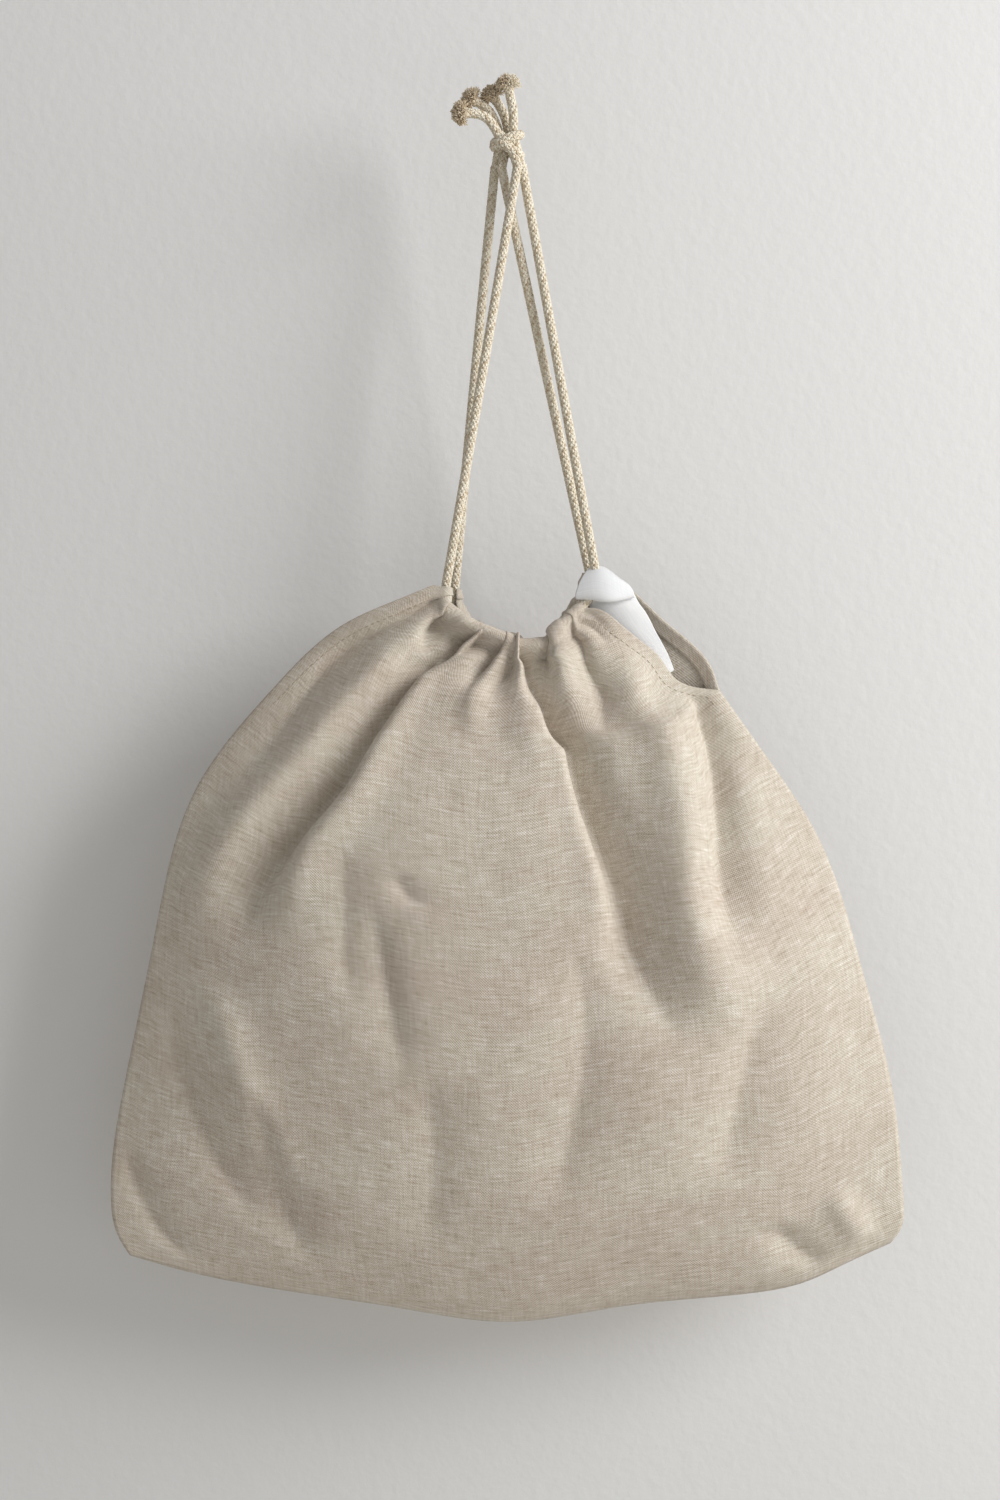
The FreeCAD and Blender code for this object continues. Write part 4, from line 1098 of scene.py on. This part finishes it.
def give_flat_uv(obj, across, up):
    """A UV map in metres from two axes of the mesh, for pieces too small to need a real one."""
    mesh = obj.data
    for layer in list(mesh.uv_layers):
        mesh.uv_layers.remove(layer)
    layer = mesh.uv_layers.new(name="flat")
    place = np.array([mesh.vertices[loop.vertex_index].co for loop in mesh.loops])
    layer.data.foreach_set("uv", place[:, [across, up]].astype(np.float32).ravel())


# %% Stitch tree
def make_stitch_tree():
    tree, n, given, out = geometry_tree("stitch row", [
        ("Stitch length", "NodeSocketFloat", 0.0026), ("Step", "NodeSocketFloat", 0.0033),
        ("Thread", "NodeSocketFloat", 0.00028), ("Unevenness", "NodeSocketFloat", 0.25),
        ("Seed", "NodeSocketInt", 3)])
    line = n.make("GeometryNodeMeshToCurve", Mesh=given["Geometry"])
    stepped = n.make("GeometryNodeResampleCurve", {"mode": "LENGTH"}, Curve=line, Length=given["Step"])
    bead = n.add("GeometryNodeMeshUVSphere", Segments=8, Rings=6, Radius=1.0).outputs["Mesh"]
    size = n.vector(given["Thread"], given["Thread"], n.math("MULTIPLY", given["Stitch length"], 0.5))
    bead = n.make("GeometryNodeTransform", Geometry=bead, Scale=size)
    ahead = n.make("GeometryNodeInputTangent")
    turn = n.make("FunctionNodeAlignRotationToVector", {"axis": "Z"}, Vector=ahead)
    smallest = n.math("SUBTRACT", 1.0, given["Unevenness"])
    uneven = n.add("FunctionNodeRandomValue", {"data_type": "FLOAT"}, _2=smallest, _3=1.0,
                   Seed=given["Seed"]).outputs[1]
    beads = n.make("GeometryNodeInstanceOnPoints", Points=stepped, Instance=bead, Rotation=turn,
                   Scale=uneven)
    finish_tree(n, out, beads, THREAD)
    return tree


STITCH_TREE = make_stitch_tree()
print("stitch tree:", len(STITCH_TREE.nodes), "nodes")

# %% Rows of stitches
STITCH_INSET = 0.0066        # from the panel's edge, just inside the turned edge's own
STITCH_LIFT = 0.00042        # from the middle of the panel's cloth


def polyline(name, line):
    """A mesh with only the edges from each point to the next."""
    mesh = bpy.data.meshes.new(name)
    mesh.from_pydata(line.tolist(), [(i, i + 1) for i in range(len(line) - 1)], [])
    return mesh


def inset_line(side, which, first, last, inset, lift):
    """A line on the outside of a panel, a set distance in from its left (0) or right (1) edge."""
    strip, _ = edge_strip(side, which, first, last, inset, -OUTWARD[side] * lift, 2)
    return strip[:, 1]


stitches = {}
for side in EXITS:
    for which, hand in enumerate(("left", "right")):
        name = f"{side}_{hand}_topstitch"
        line = inset_line(side, which, SLIT_FIRST, PANEL_ROWS - 2, STITCH_INSET, STITCH_LIFT)
        stitches[name] = run_tree(name, STITCH_TREE, polyline(name, line), {"Seed": 5 + which})
        give_flat_uv(stitches[name], 0, 2)
print("stitch rows:", {name: len(obj.data.polygons) for name, obj in stitches.items()})

# %% [markdown]
# ## Cords, knot and frayed ends
# The strands are braided along their straight routes, and the same braid goes on inside the tunnels.  The
# knot is an overhand knot in all four cords at once.  Seen from outside it is a bundle of cords with two
# turns lying round it, leaning opposite ways.

# %% Strands and tunnel cords
strand_objects = {name: braid(name + "_braid", line) for name, line in STRANDS.items()}
tunnel_objects = {side: braid(f"{side}_tunnel_braid", line[::2]) for side, line in TUNNELS.items()}
print("faces of a strand:", len(next(iter(strand_objects.values())).data.polygons))

# %% Turns round the knot
KNOT_MIDDLE = np.array([0.0, 0.0, 0.010])
TURN_RADIUS = 0.0064
TURN_WIDE, TURN_DEEP = 1.08, 0.92    # the knot is wider than it is deep
TURN_RISE = 0.0022
TURN_TILT = math.radians(24)
TURN_WAVE = 0.0006
TURN_STATIONS = 9
TUCKED = 0.45                        # how near the middle a turn's two ends lie


def knot_turn(lean, rise, start):
    """Control points of a little more than one turn round the knot, with its ends tucked in."""
    points = []
    for i in range(TURN_STATIONS + 2):
        angle = start + 2 * math.pi * i / TURN_STATIONS
        tucked = TUCKED if i in (0, TURN_STATIONS + 1) else 1.0
        x, y = (TURN_RADIUS * size * tucked * turn(angle)
                for size, turn in ((TURN_WIDE, math.cos), (TURN_DEEP, math.sin)))
        z = rise + lean * math.tan(TURN_TILT) * x + TURN_WAVE * math.sin(2 * angle)
        points.append(tuple(KNOT_MIDDLE + np.array([x, y, z])))
    return points


knot_lines = [nurbs_line(knot_turn(1, TURN_RISE, 0.6)), nurbs_line(knot_turn(-1, -TURN_RISE, 2.4))]
print("turns, mm:", [round(arc_shares(line)[1] / MM, 1) for line in knot_lines])

# %% Cords through the knot
CORES = {
    "front_left": [(0.0050, -0.0038, -0.0010), (0.0030, -0.0034, 0.0060), (-0.0005, -0.0030, 0.0110),
                   (-0.0040, -0.0035, 0.0150)],
    "front_right": [(0.0072, 0.0006, -0.0010), (0.0056, -0.0004, 0.0060), (0.0040, -0.0014, 0.0110),
                    (0.0030, -0.0020, 0.0150)],
    "back_left": [(-0.0056, 0.0046, -0.0010), (-0.0046, 0.0036, 0.0060), (-0.0036, 0.0026, 0.0110),
                  (-0.0030, 0.0020, 0.0150)],
    "back_right": [(-0.0026, 0.0010, -0.0010), (-0.0012, 0.0024, 0.0060), (0.0004, 0.0032, 0.0110),
                   (0.0015, 0.0035, 0.0150)]}
knot_lines += [nurbs_line(points) for points in CORES.values()]


def joined(name, objects):
    """One object from several, with their meshes and materials."""
    bpy.ops.object.select_all(action="DESELECT")
    for obj in objects:
        obj.select_set(True)
    bpy.context.view_layer.objects.active = objects[0]
    bpy.ops.object.join()
    objects[0].name = objects[0].data.name = name
    return objects[0]


knot = joined("overhand_knot", [braid("turn", line) for line in knot_lines])
print("knot:", len(knot.data.polygons), "faces")

# %% [markdown]
# ### Frayed ends
# Where a braid is cut, its yarns open out into a soft brush, wider than the cord.  A second Geometry Nodes
# tree plants curved fibres on a small dome at each cord's end.

# %% Fray tree
def make_fray_tree():
    tree, n, given, out = geometry_tree("frayed end", [
        ("Fibres per square metre", "NodeSocketFloat", 1.2e7), ("Fibre length", "NodeSocketFloat", 0.0034),
        ("Fibre radius", "NodeSocketFloat", 0.00021), ("Spread", "NodeSocketFloat", 0.55),
        ("Seed", "NodeSocketInt", 7)])
    spots = n.add("GeometryNodeDistributePointsOnFaces", Mesh=given["Geometry"],
                  Density=given["Fibres per square metre"], Seed=given["Seed"]).outputs
    fibre = n.make("GeometryNodeCurveQuadraticBezier", Resolution=5, Start=(0, 0, -0.2),
                   Middle=(0.05, 0, 0.65), End=(0.5, 0.1, 1.0))
    profile = n.make("GeometryNodeCurvePrimitiveCircle", Resolution=5, Radius=1.0)
    thin = n.math("DIVIDE", given["Fibre radius"], given["Fibre length"])
    profile = n.make("GeometryNodeTransform", Geometry=profile, Scale=n.vector(thin, thin, thin))
    tube = n.make("GeometryNodeCurveToMesh", Curve=fibre, Profile_Curve=profile, Fill_Caps=True)
    swing = n.make("FunctionNodeRandomValue", {"data_type": "FLOAT_VECTOR"}, _0=(-1, -1, -3.14),
                   _1=(1, 1, 3.14), Seed=given["Seed"])
    swing = n.make("ShaderNodeVectorMath", {"operation": "MULTIPLY"}, _0=swing,
                   _1=n.vector(given["Spread"], given["Spread"], 1.0))
    turn = n.make("FunctionNodeRotateRotation", {"rotation_space": "LOCAL"}, Rotation=spots["Rotation"],
                  Rotate_By=n.make("FunctionNodeEulerToRotation", Euler=swing))
    size = n.add("FunctionNodeRandomValue", {"data_type": "FLOAT"}, _2=0.6, _3=1.1,
                 Seed=n.math("ADD", given["Seed"], 11)).outputs[1]
    planted = n.make("GeometryNodeInstanceOnPoints", Points=spots["Points"], Instance=tube, Rotation=turn,
                     Scale=n.math("MULTIPLY", size, given["Fibre length"]))
    finish_tree(n, out, planted, LOOSE_FIBRE)
    return tree


def dome(name, end, ahead, radius):
    """A half ball that faces along ahead."""
    mesh = bpy.data.meshes.new(name)
    shape = bmesh.new()
    bmesh.ops.create_icosphere(shape, subdivisions=3, radius=radius)
    turn = Vector((0, 0, 1)).rotation_difference(Vector(ahead)).to_matrix().to_4x4()
    below = [v for v in shape.verts if v.co.z < -0.15 * radius]
    bmesh.ops.delete(shape, geom=below, context="VERTS")
    shape.transform(turn)
    bmesh.ops.translate(shape, verts=shape.verts, vec=Vector(end))
    shape.to_mesh(mesh)
    shape.free()
    return mesh


FRAY_TREE = make_fray_tree()
print("fray tree:", len(FRAY_TREE.nodes), "nodes")

# %% Tails
TAIL_ROUTES = {
    "front_left_tail": [(-0.0040, -0.0035, 0.0135), (-0.0075, -0.0055, 0.0205), (-0.0145, -0.0070, 0.0245),
                        (-0.0235, -0.0080, 0.0240)],
    "back_left_tail": [(-0.0030, 0.0020, 0.0140), (-0.0060, 0.0015, 0.0230), (-0.0110, 0.0005, 0.0300),
                       (-0.0185, -0.0005, 0.0330)],
    "back_right_tail": [(0.0015, 0.0035, 0.0140), (-0.0005, 0.0040, 0.0240), (-0.0040, 0.0030, 0.0310),
                        (-0.0080, 0.0015, 0.0360)],
    "front_right_tail": [(0.0030, -0.0020, 0.0140), (0.0035, -0.0030, 0.0245), (0.0018, -0.0040, 0.0320),
                         (0.0002, -0.0050, 0.0400)],
}
FRAY_START, BRAID_END = 0.78, 0.93   # shares of a tail where its braid starts to open and where it ends
OPENING = 0.3                # how much wider than the cord the braid is at its end
BRUSH_RADIUS = 0.0030
tails = {}
for number, (name, route) in enumerate(TAIL_ROUTES.items()):
    line = nurbs_line(route)
    share, _ = arc_shares(line)
    line, share = line[share < BRAID_END], share[share < BRAID_END]
    opening = 1 + OPENING * smooth((share - FRAY_START) / (BRAID_END - FRAY_START))
    cord_part = braid(name + "_cord", line, swell=opening)
    ahead = line[-1] - line[-6]
    brush = run_tree(name + "_brush", FRAY_TREE, dome(name, line[-1], ahead, BRUSH_RADIUS),
                     {"Seed": 7 + number})
    give_flat_uv(brush, 0, 2)
    tails[name] = joined(name + "_frayed", [cord_part, brush])
print("tails:", {name: len(obj.data.polygons) for name, obj in tails.items()})

# %% [markdown]
# ## What moves with what
# The strands hang from the knot, and the bag rides up along them when the mouth is opened.  The rims tilt
# outwards with the mouth, so the linings and the cords in the tunnels go with it; the seam allowances and
# the loose end go with the bag, the knot and its tails with the knot, and the strands with the cords.

# %% Mouth and panels
for side in EXITS:
    mouth = f"{side}_mouth"
    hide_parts(f"{side}_panel", f"{side}_gathered_rim")
    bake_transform(panels[side])
    for hand in ("left", "right"):
        hem, row = turned[f"{side}_{hand}_hem"], stitches[f"{side}_{hand}_topstitch"]
        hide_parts(f"{side}_{hand}_slit_hem")
        for piece in (hem, row):
            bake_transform(piece)
    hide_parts(f"{side}_casing_strip")
    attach(linings[side], mouth)
    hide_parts(f"{side}_tunnel_cord")
    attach(tunnel_objects[side], mouth)
print("blended with a mouth:", ", ".join(obj.name for obj in (*panels.values(), *stitches.values())))

# %% Seams and the loose end
for name, node in (("left_seam_allowance", "left_side_seam"), ("right_seam_allowance", "right_side_seam"),
                   ("bottom_seam_allowance", "bottom_seam")):
    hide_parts(node)
    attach(turned[name], "bag")
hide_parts("casing_strip_end")
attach(loose_end, "bag")
print("on the bag:", [obj.name for name, obj in turned.items() if "seam" in name] + [loose_end.name])

# %% Knot, tails and strands
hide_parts("cord_knot")
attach(knot, "knot")
for name, tail in tails.items():
    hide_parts(name)
    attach(tail, "knot")
for name, strand in strand_objects.items():
    route = STRAND_ROUTES[name]
    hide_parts(name)
    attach(strand, "cords")
    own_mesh(strand)
print("with the knot:", [knot.name] + [obj.name for obj in tails.values()])

# %% Free cords
for name, strand in strand_objects.items():
    line = STRANDS[name]
print("free cords:", {name: round(arc_shares(line)[1] / MM, 1) for name, line in STRANDS.items()})

# %% [markdown]
# ## Floor, wall and light
# The bag hangs a little in front of a pale wall.  The wall is there only for somebody in front of it: to
# every other ray it is clear, so it takes the bag's shadow without darkening the back of the bag.

# %% Floor and wall
WALL_BEHIND = 0.052
WALL_HALF, WALL_TOP = 1.6, 1.4
FLOOR_DROP, FLOOR_HALF = 0.72, 4


def plane(name, corners, material):
    mesh = bpy.data.meshes.new(name)
    mesh.from_pydata(corners, [], [(0, 1, 2, 3)])
    mesh.materials.append(material)
    return new_object(name, mesh)


def pale_material(name, colour, camera_only):
    """Matt paint with a faint grain; camera_only makes it clear to shadows and to light from behind."""
    material, n, shader = material_nodes(name)
    place = n.add("ShaderNodeTexCoord").outputs["Object"]
    grain = n.add("ShaderNodeTexNoise", Vector=place, Scale=180.0, Detail=3.0).outputs["Fac"]
    shader.inputs["Base Color"].default_value = colour
    shader.inputs["Roughness"].default_value = 0.9
    shader.inputs["Specular IOR Level"].default_value = 0.1
    bump = n.make("ShaderNodeBump", Strength=0.12, Distance=0.002, Height=grain)
    n.put(shader.inputs["Normal"], bump)
    if camera_only:
        seen = n.math("MULTIPLY", n.add("ShaderNodeLightPath").outputs["Is Camera Ray"],
                      n.math("SUBTRACT", 1.0, n.add("ShaderNodeNewGeometry").outputs["Backfacing"]))
        clear = n.make("ShaderNodeBsdfTransparent")
        mixed = n.make("ShaderNodeMixShader", _0=seen, _1=clear, _2=shader.outputs[0])
        output = next(node for node in material.node_tree.nodes if node.type == "OUTPUT_MATERIAL")
        n.put(output.inputs["Surface"], mixed)
    return material


CORNERS = [(-1, -1), (1, -1), (1, 1), (-1, 1)]
HEIGHTS = {-1: -FLOOR_DROP, 1: WALL_TOP}
wall = plane("wall", [(x * WALL_HALF, WALL_BEHIND, HEIGHTS[up]) for x, up in CORNERS],
             pale_material("painted wall", srgb(226, 226, 226), True))
floor = plane("floor", [(x * FLOOR_HALF, y * FLOOR_HALF, -FLOOR_DROP) for x, y in CORNERS],
              pale_material("pale floor", srgb(224, 222, 218), False))
print("stage:", wall.name + ",", floor.name)

# %% Light
KEY_PLACE, KEY_AIM = Vector((1.7, -0.74, 0.5)), Vector((0, 0, -0.35))
KEY_SIZE, KEY_WATTS, KEY_COLOUR = 1.1, 42.0, (1.0, 0.995, 0.985)
FILL, FILL_COLOUR = 0.40, (1.0, 0.99, 0.975, 1.0)
key = bpy.data.objects.new("window", bpy.data.lights.new("window", "AREA"))
key.data.size, key.data.energy, key.data.color = KEY_SIZE, KEY_WATTS, KEY_COLOUR
key.location = KEY_PLACE
key.rotation_euler = (KEY_AIM - KEY_PLACE).to_track_quat("-Z", "Y").to_euler()
bpy.context.scene.collection.objects.link(key)
world = bpy.data.worlds.new("room")
world.use_nodes = True
world.node_tree.nodes["Background"].inputs["Color"].default_value = FILL_COLOUR
world.node_tree.nodes["Background"].inputs["Strength"].default_value = FILL
bpy.context.scene.world = world
bpy.context.scene.view_settings.view_transform = "Standard"
print("key light:", KEY_WATTS, "W, fill:", FILL)
